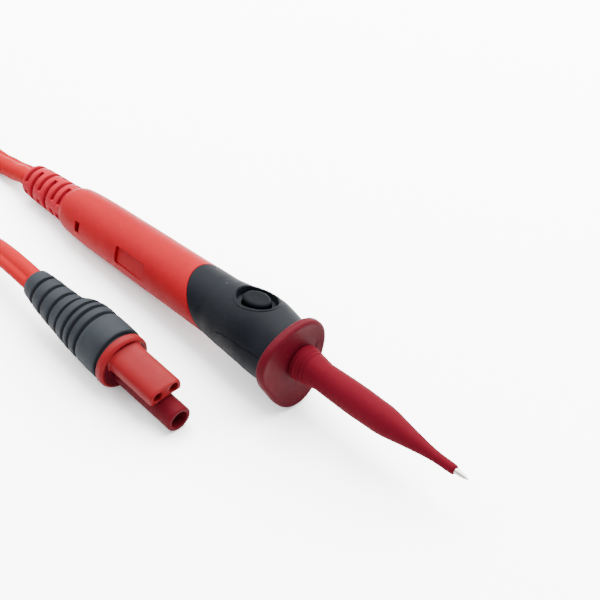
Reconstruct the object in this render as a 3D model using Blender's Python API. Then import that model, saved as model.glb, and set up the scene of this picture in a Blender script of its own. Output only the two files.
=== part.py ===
"""Remote test probe: red handle with a black grip and push button, shaped finger guard,
pull-off prod, twin lead with a tied hank of spare length, and a safety plug with two sense sockets.
Units are metres, +Z is up, and the probe and the plug lie on the surface z = 0."""

import math

import bmesh
import bpy
from mathutils import Euler, Matrix, Vector

# Clearance kept between neighbouring pieces
GAP = 0.0003

# Lie of the probe: the prod axis is X of the probe frame, its origin the front of the guard
PROBE_X = 0.03613
PROBE_Y = 0.00207
ROLL = math.radians(-12.0)
HANDLE_DROOP = math.radians(1.35)

# Finger guard: three soft lobes round an offset centre
GUARD_RADIUS = 0.01346
GUARD_LOBE = 0.094
GUARD_LOBE_AT = math.radians(49.0)
GUARD_OVAL = 0.095
GUARD_OVAL_AT = math.radians(101.0)
GUARD_SHIFT_Y = -0.00258
GUARD_SHIFT_Z = -0.00055
GUARD_THICKNESS = 0.0028
HUB_LENGTH = 0.0065
HUB_RADIUS = 0.0063

# Handle barrel, one moulded tube
BARREL_REAR = -0.1114
SHOULDER_LENGTH = 0.0089
SHOULDER_RADIUS = 0.0073
HANDLE_REAR_RADIUS = 0.00855
SWELL_START = -0.0360
GRIP_LINE = -0.0397
GRIP_TONGUE = 0.0067
GRIP_SEAT_RADIUS = 0.0086
GRIP_EDGE_WALL = 0.00108
HANDLE_FRONT_RADIUS = GRIP_SEAT_RADIUS + GRIP_EDGE_WALL
FRONT_SEAT_RADIUS = 0.0079
FRONT_SEAT_START = -0.0150
FRONT_SEAT_END = -0.0110
BARREL_BORE = 0.0069
REAR_WALL = 0.0028
NECK_RADIUS = 0.0052

# Grip sleeve outside, as (x, height above the seat below it, height of its centre above the axis)
GRIP_REAR_FORM = ((-0.0290, 0.00195, 0.00020), (-0.0270, 0.00215, 0.00035), (-0.0225, 0.00265, 0.00053),
                  (-0.0180, 0.00295, 0.00045), (-0.0145, 0.00290, -0.00010))
GRIP_FRONT_FORM = ((-0.0110, 0.00330, -0.00075), (-0.0070, 0.00290, -0.00130),
                   (-0.0034, 0.00255, -0.00160))
GRIP_FORM = (tuple((x, GRIP_SEAT_RADIUS + wall, lift) for x, wall, lift in GRIP_REAR_FORM)
             + tuple((x, FRONT_SEAT_RADIUS + wall, lift) for x, wall, lift in GRIP_FRONT_FORM))

# Push button
BUTTON_X = -0.0210
BUTTON_TRAVEL = 0.0010
PAD_LONG = 0.00485
PAD_WIDE = 0.00430
PAD_RISE = 0.0033
PAD_TOP = GRIP_SEAT_RADIUS + PAD_RISE
PAD_THICKNESS = 0.0019
STEM_LONG = 0.0045
STEM_WIDE = 0.0040
STEM_BOTTOM = 0.0046
WELL_LONG = 0.00775
WELL_WIDE = 0.00700
WELL_TAPER = 0.0007
WELL_FLOOR = 0.0040
WINDOW_FLOOR = 0.0045
WELL_RISE = 0.0039
WELL_NARROW = 0.0035
PLUNGER_RADIUS = 0.0050
PLUNGER_THICKNESS = 0.0008
SWITCH_SIDE = 0.0060
SWITCH_HEIGHT = 0.0018
SWITCH_STEM = 0.0017
SPRING_RADIUS = 0.00475
SPRING_WIRE = 0.00025
SPRING_TURNS = 3

# Chassis tray inside the barrel, and what it carries
TRAY_RADIUS = 0.0066
TRAY_WALL = 0.0010
TRAY_TOP = -0.0013
TRAY_FRONT = -0.0098
TRAY_END_WALL = 0.0015
DRAFT = 0.0001
RIB_BORE = 0.0043
RIB_WIDTH = 0.0030
RIB_PLACES = (-0.0410, -0.0300)
BOARD_BACK = -0.0440
BOARD_FRONT = -0.0156
BOARD_HALF_WIDTH = 0.0063
BOARD_THICKNESS = 0.0008
BOARD_SCREW_Y = 0.0052
SADDLE_BACK = -0.0970
SADDLE_WIDTH = 0.0050
CLAMP_SCREW_Y = 0.0052
CLAMP_EAR_TOP = 0.0018

# Contact rod through the guard
ROD_RADIUS = 0.0020
ROD_REAR = -0.0150
ROD_FRONT = 0.0210
ROD_COLLAR_RADIUS = 0.0032
ROD_COLLAR_LENGTH = 0.0021
NUT_FLATS = 0.0070
NUT_LENGTH = 0.0025
SEAL_WIRE = 0.0003

# Prod, pulled off forwards
PROD_REAR = 0.0006
PROD_BASE_RADIUS = 0.00565
PROD_BODY_RADIUS = 0.00440
PROD_BULGE_RADIUS = 0.00466
PROD_BULGE_X = 0.0232
PROD_TAPER_X = 0.0335
PROD_NOSE_X = 0.0540
PROD_NOSE_RADIUS = 0.00142
PROD_FRONT = 0.0596
SOCKET_WALL = 0.0004
SOCKET_FLOOR = 0.0015
TIP_RADIUS = 0.0008
TIP_HEAD_RADIUS = 0.0017
TIP_HEAD_LENGTH = 0.0027
TIP_SHOULDER_X = 0.0616
TIP_POINT_RADIUS = 0.00028
TIP_END_X = 0.0638

# Strain relief boot on the handle
BOOT_REAR = -0.1360
BOOT_REAR_RADIUS = 0.0055
BOOT_FRONT_RADIUS = 0.00716
BOOT_FLANGE_RADIUS = 0.0066
BOOT_FLANGE_LENGTH = 0.0030
SLOT_RINGS = 6
SLOT_PITCH = 0.0031
SLOT_FIRST = -0.1312
SLOT_WIDTH = 0.0014
SLOT_DEPTH = 0.0013
SLOT_WEB = math.radians(30.0)
SLOT_SLOPE = 0.00015

# Lead
LEAD_RADIUS = 0.0035
TAIL_RADIUS = 0.0034
TAIL_FRONT = -0.0880
MAIN_WIRE_RADIUS = 0.0008
SIGNAL_WIRE_RADIUS = 0.0005
LEAD_REST = 0.0036
HANK_CENTRE = (-0.2020, -0.0190)
HANK_STRAIGHT = 0.0280
HANK_MIDDLE = 0.0280
HANK_HALF_WIDTH = 0.0080
HANK_HEIGHT = 0.0130
TIE_WIDTH = 0.0120
TIE_THICKNESS = 0.0008

# Plug: X of its frame is its axis, its origin the front of the flange
PLUG_X = -0.00364
PLUG_Y = -0.03233
PLUG_YAW = math.radians(0.6)
FLANGE_RADIUS = 0.0092
FLANGE_THICKNESS = 0.0035
SHROUD_RADIUS = 0.0042
SHROUD_BORE = 0.0028
SHROUD_DROP = 0.0031
SHROUD_LENGTH = 0.0247
BLOCK_LENGTH = 0.0181
BLOCK_WIDTH = 0.0115
BLOCK_BOTTOM = 0.0016
BLOCK_TOP = 0.0067
SENSE_SPACING = 0.0060
SENSE_HOLE = 0.0015
SENSE_DEPTH = 0.0120
PIN_RADIUS = 0.00195
PIN_RECESS = 0.0030
CAP_REAR = -0.0188
PLUG_BOOT_REAR = -0.0460
PLUG_BOOT_FORM = ((-0.0454, 0.00480), (-0.0433, 0.00520), (-0.0400, 0.00565), (-0.0357, 0.00630),
                  (-0.0308, 0.00670), (-0.0266, 0.00720), (-0.0233, 0.00820), (-0.0200, 0.00900),
                  (-0.0191, 0.00910))
PLUG_RIBS = (-0.0428, -0.0393, -0.0356, -0.0321, -0.0287, -0.0253, -0.0220)
PLUG_RIB_WIDTH = 0.0009
PLUG_RIB_DEPTH = 0.0012


def clear_scene():
    for item in list(bpy.data.objects):
        bpy.data.objects.remove(item, do_unlink=True)


def material(name, colour, roughness, metallic=0.0):
    made = bpy.data.materials.new(name)
    made.use_nodes = True
    shader = made.node_tree.nodes["Principled BSDF"]
    shader.inputs["Base Color"].default_value = (*colour, 1.0)
    shader.inputs["Roughness"].default_value = roughness
    shader.inputs["Metallic"].default_value = metallic
    made.diffuse_color = (*colour, 1.0)
    return made


def empty(name, parent=None, location=(0.0, 0.0, 0.0), rotation=(0.0, 0.0, 0.0)):
    made = bpy.data.objects.new(name, None)
    made.empty_display_size = 0.01
    made.location = location
    made.rotation_euler = rotation
    made.parent = parent
    bpy.context.collection.objects.link(made)
    return made


def add_object(name, data, finish, parent):
    made = bpy.data.objects.new(name, data)
    made.parent = parent
    bpy.context.collection.objects.link(made)
    if finish is not None:
        data.materials.append(finish)
    return made


def as_cutter(item):
    item.hide_render = True
    item.display_type = "WIRE"
    return item


def boolean(item, other, operation="DIFFERENCE"):
    step = item.modifiers.new(other.name, "BOOLEAN")
    step.object = other
    step.operation = operation
    step.solver = "EXACT"
    as_cutter(other)


def mesh_of_rings(name, rings, looped, finish, parent):
    """Skin closed rings of points; a looped skin joins its last ring to its first."""
    bm = bmesh.new()
    rows = [[bm.verts.new(point) for point in ring] for ring in rings]
    count = len(rows[0])
    pairs = list(zip(rows, rows[1:]))
    if looped:
        pairs.append((rows[-1], rows[0]))
    for first, second in pairs:
        for i in range(count):
            j = (i + 1) % count
            bm.faces.new((first[i], first[j], second[j], second[i]))
    if not looped:
        bm.faces.new(list(reversed(rows[0])))
        bm.faces.new(rows[-1])
    bmesh.ops.recalc_face_normals(bm, faces=bm.faces)
    data = bpy.data.meshes.new(name)
    bm.to_mesh(data)
    bm.free()
    data.shade_smooth()
    data.set_sharp_from_angle(angle=math.radians(35.0))
    return add_object(name, data, finish, parent)


def at(value, angle):
    return value(angle) if callable(value) else value


def turned(name, stations, sides, finish, parent, looped=False):
    """Turn (x, radius[, centre height]) round X; an angle of 0 points to +Z, 90 degrees to +Y."""
    rings = []
    for station in stations:
        x, radius = station[0], station[1]
        lift = station[2] if len(station) > 2 else 0.0
        ring = []
        for k in range(sides):
            angle = 2.0 * math.pi * k / sides
            r = at(radius, angle)
            ring.append((at(x, angle), r * math.sin(angle), r * math.cos(angle) + lift))
        rings.append(ring)
    return mesh_of_rings(name, rings, looped, finish, parent)


def upright(name, stations, centre, sides, finish, parent):
    """Stack ovals (z, half length, half width) on a vertical line through centre (x, y)."""
    rings = []
    for z, half_long, half_wide in stations:
        ring = []
        for k in range(sides):
            angle = 2.0 * math.pi * k / sides
            ring.append((centre[0] + half_long * math.cos(angle),
                         centre[1] + half_wide * math.sin(angle), z))
        rings.append(ring)
    return mesh_of_rings(name, rings, False, finish, parent)


def extruded(name, outline, x_start, x_end, finish, parent):
    """Extrude a closed (y, z) outline along X."""
    rings = [[(x, y, z) for y, z in outline] for x in (x_start, x_end)]
    return mesh_of_rings(name, rings, False, finish, parent)


def block(name, low, high, finish, parent):
    outline = [(low[1], low[2]), (high[1], low[2]), (high[1], high[2]), (low[1], high[2])]
    return extruded(name, outline, low[0], high[0], finish, parent)


def smooth_route(points, steps):
    """Catmull-Rom points through a hand-chosen route."""
    fine = []
    nodes = [Vector(p) for p in points]
    nodes = [2.0 * nodes[0] - nodes[1]] + nodes + [2.0 * nodes[-1] - nodes[-2]]
    for i in range(1, len(nodes) - 2):
        before, start, end, after = nodes[i - 1:i + 3]
        for k in range(steps):
            t = k / steps
            fine.append(0.5 * (2.0 * start + (end - before) * t
                               + (2.0 * before - 5.0 * start + 4.0 * end - after) * t * t
                               + (3.0 * start - before - 3.0 * end + after) * t ** 3))
    fine.append(nodes[-2])
    return fine


def round_wire(name, points, radius, finish, parent, bevel_resolution=2):
    data = bpy.data.curves.new(name, "CURVE")
    data.dimensions = "3D"
    data.bevel_depth = radius
    data.bevel_resolution = bevel_resolution
    data.use_fill_caps = True
    spline = data.splines.new("POLY")
    spline.points.add(len(points) - 1)
    for slot, point in zip(spline.points, points):
        slot.co = (*point, 1.0)
    return add_object(name, data, finish, parent)


def smooth_step(t):
    t = min(1.0, max(0.0, t))
    return t * t * (3.0 - 2.0 * t)


def guard_point(angle, inset=0.0):
    """Rim of the guard at an angle from +Y towards +Z, as (y, z)."""
    reach = GUARD_RADIUS * (1.0 + GUARD_LOBE * math.cos(3.0 * (angle - GUARD_LOBE_AT))
                            + GUARD_OVAL * math.cos(2.0 * (angle - GUARD_OVAL_AT))) - inset
    return (GUARD_SHIFT_Y + reach * math.cos(angle), GUARD_SHIFT_Z + reach * math.sin(angle))


def guard_drop():
    """How far the rolled guard reaches below the prod axis."""
    drops = []
    for k in range(360):
        y, z = guard_point(math.radians(k))
        drops.append(-(y * math.sin(ROLL) + z * math.cos(ROLL)))
    return max(drops)


def handle_radius(x):
    shoulder_end = BARREL_REAR + SHOULDER_LENGTH
    if x < shoulder_end:
        rise = smooth_step((x - BARREL_REAR) / SHOULDER_LENGTH)
        return SHOULDER_RADIUS + (HANDLE_REAR_RADIUS - SHOULDER_RADIUS) * rise
    share = min(1.0, (x - shoulder_end) / (SWELL_START - shoulder_end))
    swell = smooth_step((x - SWELL_START) / (GRIP_FORM[0][0] - SWELL_START))
    radius = HANDLE_REAR_RADIUS + (HANDLE_FRONT_RADIUS - HANDLE_REAR_RADIUS) * share
    return radius + (GRIP_FORM[0][1] - HANDLE_FRONT_RADIUS) * swell


def grip_edge(angle, offset=0.0):
    """Rear edge of the grip: it runs further back on the button side."""
    return GRIP_LINE - GRIP_TONGUE * math.cos(angle) + offset


def probe_frames():
    """The prod frame, and the handle frame that droops from it, resting on guard and handle."""
    drop = guard_drop()
    contact_x = BARREL_REAR + SHOULDER_LENGTH
    handle_low = HANDLE_REAR_RADIUS
    handle_low += -contact_x * math.sin(HANDLE_DROOP) * math.cos(ROLL)
    pitch = math.asin((drop - handle_low) / -contact_x)
    height = drop * math.cos(pitch) + GUARD_THICKNESS * math.sin(pitch)
    probe = empty("probe_frame", None, (PROBE_X, PROBE_Y, height), (ROLL, -pitch, 0.0))
    handle = empty("handle_frame", probe, (0.0, 0.0, 0.0), (0.0, -HANDLE_DROOP, 0.0))
    return probe, handle


def plug_frame():
    """The plug rests on its flange and on the end of its shroud."""
    drop = (FLANGE_RADIUS - SHROUD_RADIUS - SHROUD_DROP) / SHROUD_LENGTH
    pitch = math.asin(drop)
    height = FLANGE_RADIUS * math.cos(pitch) + GAP * 0.1
    return empty("plug_frame", None, (PLUG_X, PLUG_Y, height), (0.0, pitch, PLUG_YAW))


def build_barrel(frame, finish):
    edge = lambda a: grip_edge(a, -GAP)
    rim = lambda a: handle_radius(grip_edge(a, -GAP))
    outer = [(x, handle_radius(x)) for x in
             [BARREL_REAR + SHOULDER_LENGTH * k / 6.0 for k in range(7)]]
    outer += [(x, handle_radius(x)) for x in (-0.0850, -0.0680, -0.0540)]
    outer += [(edge, rim), (edge, GRIP_SEAT_RADIUS), (FRONT_SEAT_START, GRIP_SEAT_RADIUS),
              (FRONT_SEAT_END, FRONT_SEAT_RADIUS), (GRIP_FORM[-1][0], FRONT_SEAT_RADIUS)]
    inner = [(GRIP_FORM[-1][0], BARREL_BORE), (BARREL_REAR + REAR_WALL, BARREL_BORE),
             (BARREL_REAR + REAR_WALL, NECK_RADIUS + GAP), (BARREL_REAR, NECK_RADIUS + GAP)]
    barrel = turned("handle_barrel", outer + inner, 40, finish, frame, looped=True)
    window = upright("button_window", [(WINDOW_FLOOR, STEM_LONG + GAP, STEM_WIDE + GAP),
                                       (PAD_TOP, STEM_LONG + GAP, STEM_WIDE + GAP)],
                     (BUTTON_X, 0.0), 32, None, frame)
    boolean(barrel, window)
    # Shallow bare pocket and latch recess on the side of the handle
    for name, x_mid, length, width, depth, turn in (
            ("label_pocket", -0.0760, 0.0110, 0.0058, 0.0007, -82.0),
            ("latch_recess", -0.1030, 0.0022, 0.0042, 0.0010, -82.0)):
        cutter = block(name, (x_mid - length / 2, -width / 2, handle_radius(x_mid) - depth),
                       (x_mid + length / 2, width / 2, handle_radius(x_mid) + 0.004), None, frame)
        cutter.rotation_euler = (math.radians(-turn), 0.0, 0.0)
        boolean(barrel, cutter)
    return barrel


def build_grip(frame, finish):
    edge = lambda a: grip_edge(a)
    rim = lambda a: handle_radius(grip_edge(a))
    outer = [(edge, rim)]
    for share in (0.35, 0.7):
        middle = lambda a, k=share: grip_edge(a) + (GRIP_FORM[0][0] - grip_edge(a)) * k
        outer.append((middle, lambda a, m=middle: handle_radius(m(a))))
    outer += GRIP_FORM
    inner = [(GRIP_FORM[-1][0], FRONT_SEAT_RADIUS + GAP), (FRONT_SEAT_END, FRONT_SEAT_RADIUS + GAP),
             (FRONT_SEAT_START, GRIP_SEAT_RADIUS + GAP), (edge, GRIP_SEAT_RADIUS + GAP)]
    grip = turned("grip_sleeve", outer + inner, 40, finish, frame, looped=True)
    well_top = GRIP_SEAT_RADIUS + WELL_RISE
    well = upright("button_well", [(WELL_FLOOR, WELL_LONG - WELL_TAPER, WELL_WIDE - WELL_TAPER),
                                   (well_top - WELL_NARROW, WELL_LONG - WELL_TAPER, WELL_WIDE - WELL_TAPER),
                                   (well_top, WELL_LONG, WELL_WIDE)],
                   (BUTTON_X, 0.0), 40, None, frame)
    boolean(grip, well)
    return grip


def build_guard(frame, finish):
    sides = 48
    rear = -GUARD_THICKNESS
    hub_end = rear - HUB_LENGTH

    def circle(x, radius):
        return [(x, radius * math.cos(t), radius * math.sin(t)) for t in angles]

    def rim(x, inset):
        return [(x, *guard_point(t, inset)) for t in angles]

    angles = [2.0 * math.pi * k / sides for k in range(sides)]
    rings = [circle(hub_end, HUB_RADIUS), circle(rear, HUB_RADIUS), rim(rear, 0.0005),
             rim(rear + 0.0004, 0.0), rim(rear + 0.0016, 0.0), rim(-0.0005, 0.0004),
             rim(-0.0001, 0.0011), rim(0.0, 0.0022), circle(0.0, 0.0065),
             circle(0.0, ROD_COLLAR_RADIUS + GAP), circle(rear - 0.0002, ROD_COLLAR_RADIUS + GAP),
             circle(rear - 0.0002, ROD_RADIUS + GAP), circle(hub_end, ROD_RADIUS + GAP)]
    return mesh_of_rings("finger_guard", rings, True, finish, frame)


def boot_radius(x):
    share = (x - BOOT_REAR - 0.0013) / (BARREL_REAR - 0.0004 - BOOT_REAR - 0.0013)
    share = min(1.0, max(0.0, share))
    return BOOT_REAR_RADIUS + (BOOT_FRONT_RADIUS - BOOT_REAR_RADIUS) * share ** 0.7


def build_boot(frame, finish):
    """Tapered boot whose interrupted slots turn a quarter turn from ring to ring."""
    bore = TAIL_RADIUS + GAP
    front = BARREL_REAR - GAP
    flange = BARREL_REAR + REAR_WALL + GAP
    stations = [(BOOT_REAR, BOOT_REAR_RADIUS - 0.0007), (BOOT_REAR + 0.0005, BOOT_REAR_RADIUS - 0.0002),
                (BOOT_REAR + 0.0014, boot_radius(BOOT_REAR + 0.0014))]
    for ring in range(SLOT_RINGS):
        middle = SLOT_FIRST + ring * SLOT_PITCH
        turn = (ring % 2) * math.pi / 2.0

        def slotted(angle, x, turn=turn):
            across = abs(math.sin(angle - turn))
            web = across < math.sin(SLOT_WEB / 2.0)
            return boot_radius(x) - (0.0 if web else SLOT_DEPTH)

        start = middle - SLOT_WIDTH / 2.0
        end = middle + SLOT_WIDTH / 2.0
        stations.append((start - SLOT_SLOPE, boot_radius(start - SLOT_SLOPE)))
        stations.append((start, lambda a, x=start, f=slotted: f(a, x)))
        stations.append((end, lambda a, x=end, f=slotted: f(a, x)))
        stations.append((end + SLOT_SLOPE, boot_radius(end + SLOT_SLOPE)))
    stations += [(front, boot_radius(front)), (front, NECK_RADIUS), (flange, NECK_RADIUS),
                 (flange, BOOT_FLANGE_RADIUS), (flange + BOOT_FLANGE_LENGTH, BOOT_FLANGE_RADIUS),
                 (flange + BOOT_FLANGE_LENGTH, bore), (BOOT_REAR, bore)]
    return turned("cable_boot", stations, 36, finish, frame, looped=True)


def tray_ring(x, bore, steps=12):
    """Section of the tray at x: an arc of the outer radius and one of the bore below TRAY_TOP."""
    def arc(radius):
        limit = math.acos(-TRAY_TOP / radius)
        return [(x, radius * math.sin(-limit + 2.0 * limit * k / steps),
                 -radius * math.cos(-limit + 2.0 * limit * k / steps)) for k in range(steps + 1)]
    return arc(TRAY_RADIUS) + list(reversed(arc(bore)))


def build_chassis(frame, finish):
    back = BARREL_REAR + REAR_WALL + 2.0 * GAP + BOOT_FLANGE_LENGTH
    plain = TRAY_RADIUS - TRAY_WALL
    plan = [(back, plain), (SADDLE_BACK, plain), (SADDLE_BACK + DRAFT, LEAD_RADIUS + 0.0002),
            (SADDLE_BACK + SADDLE_WIDTH - DRAFT, LEAD_RADIUS + 0.0002),
            (SADDLE_BACK + SADDLE_WIDTH, plain)]
    for place in RIB_PLACES:
        half = RIB_WIDTH / 2.0
        plan += [(place - half, plain), (place - half + DRAFT, RIB_BORE),
                 (place + half - DRAFT, RIB_BORE), (place + half, plain)]
    wall = TRAY_FRONT - TRAY_END_WALL
    plan += [(wall - DRAFT, plain), (wall, ROD_RADIUS + 2.0 * GAP), (TRAY_FRONT, ROD_RADIUS + 2.0 * GAP)]
    chassis = mesh_of_rings("chassis_tray", [tray_ring(x, bore) for x, bore in plan],
                            False, finish, frame)
    for index, (x, y) in enumerate(board_screw_places()):
        hole = upright("tray_hole_%d" % index, [(-0.0027, 0.0008, 0.0008), (0.0, 0.0008, 0.0008)],
                       (x, y), 16, None, frame)
        boolean(chassis, hole)
    for index, (x, y) in enumerate(clamp_screw_places()):
        hole = upright("saddle_hole_%d" % index, [(-0.0027, 0.0008, 0.0008), (0.0, 0.0008, 0.0008)],
                       (x, y), 16, None, frame)
        boolean(chassis, hole)
    return chassis


def board_screw_places():
    return [(RIB_PLACES[0], BOARD_SCREW_Y), (RIB_PLACES[1], -BOARD_SCREW_Y)]


def clamp_screw_places():
    middle = SADDLE_BACK + SADDLE_WIDTH / 2.0
    return [(middle, CLAMP_SCREW_Y), (middle, -CLAMP_SCREW_Y)]


def build_board(frame, board_finish, switch_finish):
    bottom = TRAY_TOP + GAP
    top = bottom + BOARD_THICKNESS
    board = block("switch_board", (BOARD_BACK, -BOARD_HALF_WIDTH, bottom),
                  (BOARD_FRONT, BOARD_HALF_WIDTH, top), board_finish, frame)
    for index, (x, y) in enumerate(board_screw_places()):
        hole = upright("board_hole_%d" % index, [(bottom - 0.001, 0.0008, 0.0008),
                                                 (top + 0.001, 0.0008, 0.0008)],
                       (x, y), 16, None, frame)
        boolean(board, hole)
    half = SWITCH_SIDE / 2.0
    foot = top + GAP
    switch = block("push_switch", (BUTTON_X - half, -half, foot),
                   (BUTTON_X + half, half, foot + SWITCH_HEIGHT), switch_finish, frame)
    stem_top = foot + SWITCH_HEIGHT + GAP
    stem = upright("switch_stem", [(foot + 0.001, SWITCH_STEM, SWITCH_STEM),
                                   (stem_top, SWITCH_STEM, SWITCH_STEM)],
                   (BUTTON_X, 0.0), 20, None, frame)
    boolean(switch, stem, "UNION")
    return board, switch, top, stem_top


def screw(name, place, seat, depth, head, shank, finish, frame):
    x, y = place
    return upright(name, [(seat - depth, shank, shank), (seat, shank, shank), (seat, head, head),
                          (seat + 0.0006, head, head), (seat + 0.0008, head * 0.7, head * 0.7)],
                   (x, y), 16, finish, frame)


def build_clamp(frame, finish, screw_finish):
    low = TRAY_TOP + GAP
    bore = LEAD_RADIUS + 0.0002
    limit = math.acos(low / bore)
    arch = [(bore * math.sin(limit - 2.0 * limit * k / 12), bore * math.cos(limit - 2.0 * limit * k / 12))
            for k in range(13)]
    ear = 0.0062
    outside = [(-ear, low), (-ear, CLAMP_EAR_TOP), (-0.0041, CLAMP_EAR_TOP), (-0.0034, 0.0040),
               (-0.0013, 0.0052), (0.0013, 0.0052), (0.0034, 0.0040), (0.0041, CLAMP_EAR_TOP),
               (ear, CLAMP_EAR_TOP), (ear, low)]
    clamp = extruded("lead_clamp", outside + arch, SADDLE_BACK, SADDLE_BACK + SADDLE_WIDTH, finish, frame)
    for index, place in enumerate(clamp_screw_places()):
        hole = upright("clamp_hole_%d" % index, [(low - 0.001, 0.0008, 0.0008),
                                                 (CLAMP_EAR_TOP + 0.001, 0.0008, 0.0008)],
                       place, 16, None, frame)
        boolean(clamp, hole)
        screw("clamp_screw_%d" % (index + 1), place, CLAMP_EAR_TOP + GAP, 0.0043, 0.0008, 0.0005,
              screw_finish, frame)


def build_button(frame, board_top, stem_top, finishes):
    """Cap, plunger and return spring; the plunger stops a clearance short of the switch stem."""
    axis = empty("button_axis", frame, (BUTTON_X, 0.0, 0.0))
    underside = PAD_TOP - PAD_THICKNESS
    upright("button_cap", [(STEM_BOTTOM, STEM_LONG, STEM_WIDE), (underside, STEM_LONG, STEM_WIDE),
                           (underside, PAD_LONG + 0.0002, PAD_WIDE + 0.0002),
                           (PAD_TOP - 0.0006, PAD_LONG + 0.0001, PAD_WIDE + 0.0001),
                           (PAD_TOP - 0.0002, PAD_LONG - 0.0002, PAD_WIDE - 0.0002),
                           (PAD_TOP, PAD_LONG - 0.0009, PAD_WIDE - 0.0009)],
            (0.0, 0.0), 36, finishes["button"], axis)
    disc_low = stem_top + BUTTON_TRAVEL + GAP
    upright("button_plunger", [(disc_low, PLUNGER_RADIUS, PLUNGER_RADIUS),
                               (disc_low + PLUNGER_THICKNESS, PLUNGER_RADIUS, PLUNGER_RADIUS)],
            (0.0, 0.0), 28, finishes["white_plastic"], axis)
    low = board_top + GAP + SPRING_WIRE
    high = disc_low - GAP - SPRING_WIRE
    steps = SPRING_TURNS * 16
    points = []
    for k in range(steps + 1):
        angle = 2.0 * math.pi * k / 16
        points.append((SPRING_RADIUS * math.cos(angle), SPRING_RADIUS * math.sin(angle),
                       low + (high - low) * k / steps))
    round_wire("return_spring", points, SPRING_WIRE, finishes["steel"], axis, 1)


def build_rod(frame, finishes):
    rear_of_collar = -GUARD_THICKNESS - 0.0002 + GAP
    turned("contact_rod", [(ROD_REAR, ROD_RADIUS - 0.0002), (ROD_REAR + 0.0003, ROD_RADIUS),
                           (rear_of_collar, ROD_RADIUS), (rear_of_collar, ROD_COLLAR_RADIUS),
                           (rear_of_collar + ROD_COLLAR_LENGTH, ROD_COLLAR_RADIUS),
                           (rear_of_collar + ROD_COLLAR_LENGTH, ROD_RADIUS),
                           (ROD_FRONT - 0.0008, ROD_RADIUS), (ROD_FRONT, ROD_RADIUS - 0.0008)],
           24, finishes["nickel"], frame)
    front = TRAY_FRONT - TRAY_END_WALL - GAP

    def hexagon(angle):
        return NUT_FLATS / 2.0 / math.cos((angle + math.pi / 6.0) % (math.pi / 3.0) - math.pi / 6.0)

    turned("rod_nut", [(front - NUT_LENGTH, hexagon), (front, hexagon), (front, ROD_RADIUS + GAP),
                       (front - NUT_LENGTH, ROD_RADIUS + GAP)], 24, finishes["brass"], frame, looped=True)
    middle = ROD_RADIUS + GAP + SEAL_WIRE
    seal = [(SEAL_WIRE * math.cos(math.pi * k / 4.0), middle + SEAL_WIRE * math.sin(math.pi * k / 4.0))
            for k in range(8)]
    turned("rod_seal", seal, 24, finishes["rubber"], frame, looped=True)


def prod_radius(x):
    """Outside of the prod in front of its base rings."""
    if x <= PROD_BULGE_X:
        return PROD_BODY_RADIUS + (PROD_BULGE_RADIUS - PROD_BODY_RADIUS) * smooth_step(
            (x - 0.009) / (PROD_BULGE_X - 0.009))
    if x <= PROD_TAPER_X:
        return PROD_BULGE_RADIUS - 0.00026 * smooth_step((x - PROD_BULGE_X) / (PROD_TAPER_X - PROD_BULGE_X))
    start = PROD_BULGE_RADIUS - 0.00026
    share = (x - PROD_TAPER_X) / (PROD_NOSE_X - PROD_TAPER_X)
    share = min(1.0, max(0.0, share))
    return start + (PROD_NOSE_RADIUS - start) * (0.72 * share + 0.28 * smooth_step(share))


def build_prod(frame, finishes):
    axis = empty("prod_axis", frame)
    base = PROD_BASE_RADIUS
    rings = [(PROD_REAR, base - 0.0003), (PROD_REAR + 0.0003, base), (PROD_REAR + 0.0013, base),
             (PROD_REAR + 0.0016, base - 0.0009), (PROD_REAR + 0.0022, base - 0.0009),
             (PROD_REAR + 0.0025, base - 0.0005), (PROD_REAR + 0.0036, base - 0.0005),
             (PROD_REAR + 0.0039, base - 0.0012), (PROD_REAR + 0.0045, base - 0.0012),
             (PROD_REAR + 0.0048, base - 0.0008), (PROD_REAR + 0.0058, base - 0.0009)]
    body = [(x, prod_radius(x)) for x in (0.0090, 0.0140, 0.0190, PROD_BULGE_X, 0.0280, 0.0320,
                                          0.0350, 0.0385, 0.0420, 0.0455, 0.0490, PROD_NOSE_X)]
    nose = [(PROD_FRONT - 0.0003, PROD_NOSE_RADIUS), (PROD_FRONT, PROD_NOSE_RADIUS - 0.0002)]
    socket_outer = ROD_RADIUS + GAP + SOCKET_WALL
    floor = ROD_FRONT + 0.0010
    socket_front = floor + SOCKET_FLOOR
    head_back = socket_front + GAP
    head_front = head_back + TIP_HEAD_LENGTH
    bore = [(PROD_FRONT, TIP_RADIUS + GAP), (head_front + GAP, TIP_RADIUS + GAP),
            (head_front + GAP, TIP_HEAD_RADIUS + GAP), (head_back + 0.0004, TIP_HEAD_RADIUS + GAP),
            (head_back + 0.0004, socket_outer + GAP), (PROD_REAR, socket_outer + GAP)]
    turned("prod_body", rings + body + nose + bore, 28, finishes["prod"], axis, looped=True)
    mouth = PROD_REAR + 0.0006
    turned("prod_socket", [(floor, ROD_RADIUS + GAP), (mouth, ROD_RADIUS + GAP), (mouth, socket_outer),
                           (socket_front, socket_outer)], 24, finishes["brass"], axis)
    turned("prod_tip", [(head_back, TIP_HEAD_RADIUS), (head_front, TIP_HEAD_RADIUS),
                        (head_front, TIP_RADIUS), (TIP_SHOULDER_X, TIP_RADIUS),
                        (TIP_SHOULDER_X + 0.0005, TIP_POINT_RADIUS),
                        (TIP_END_X - 0.0004, TIP_POINT_RADIUS), (TIP_END_X, 0.00008)],
           20, finishes["steel"], axis)


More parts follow.
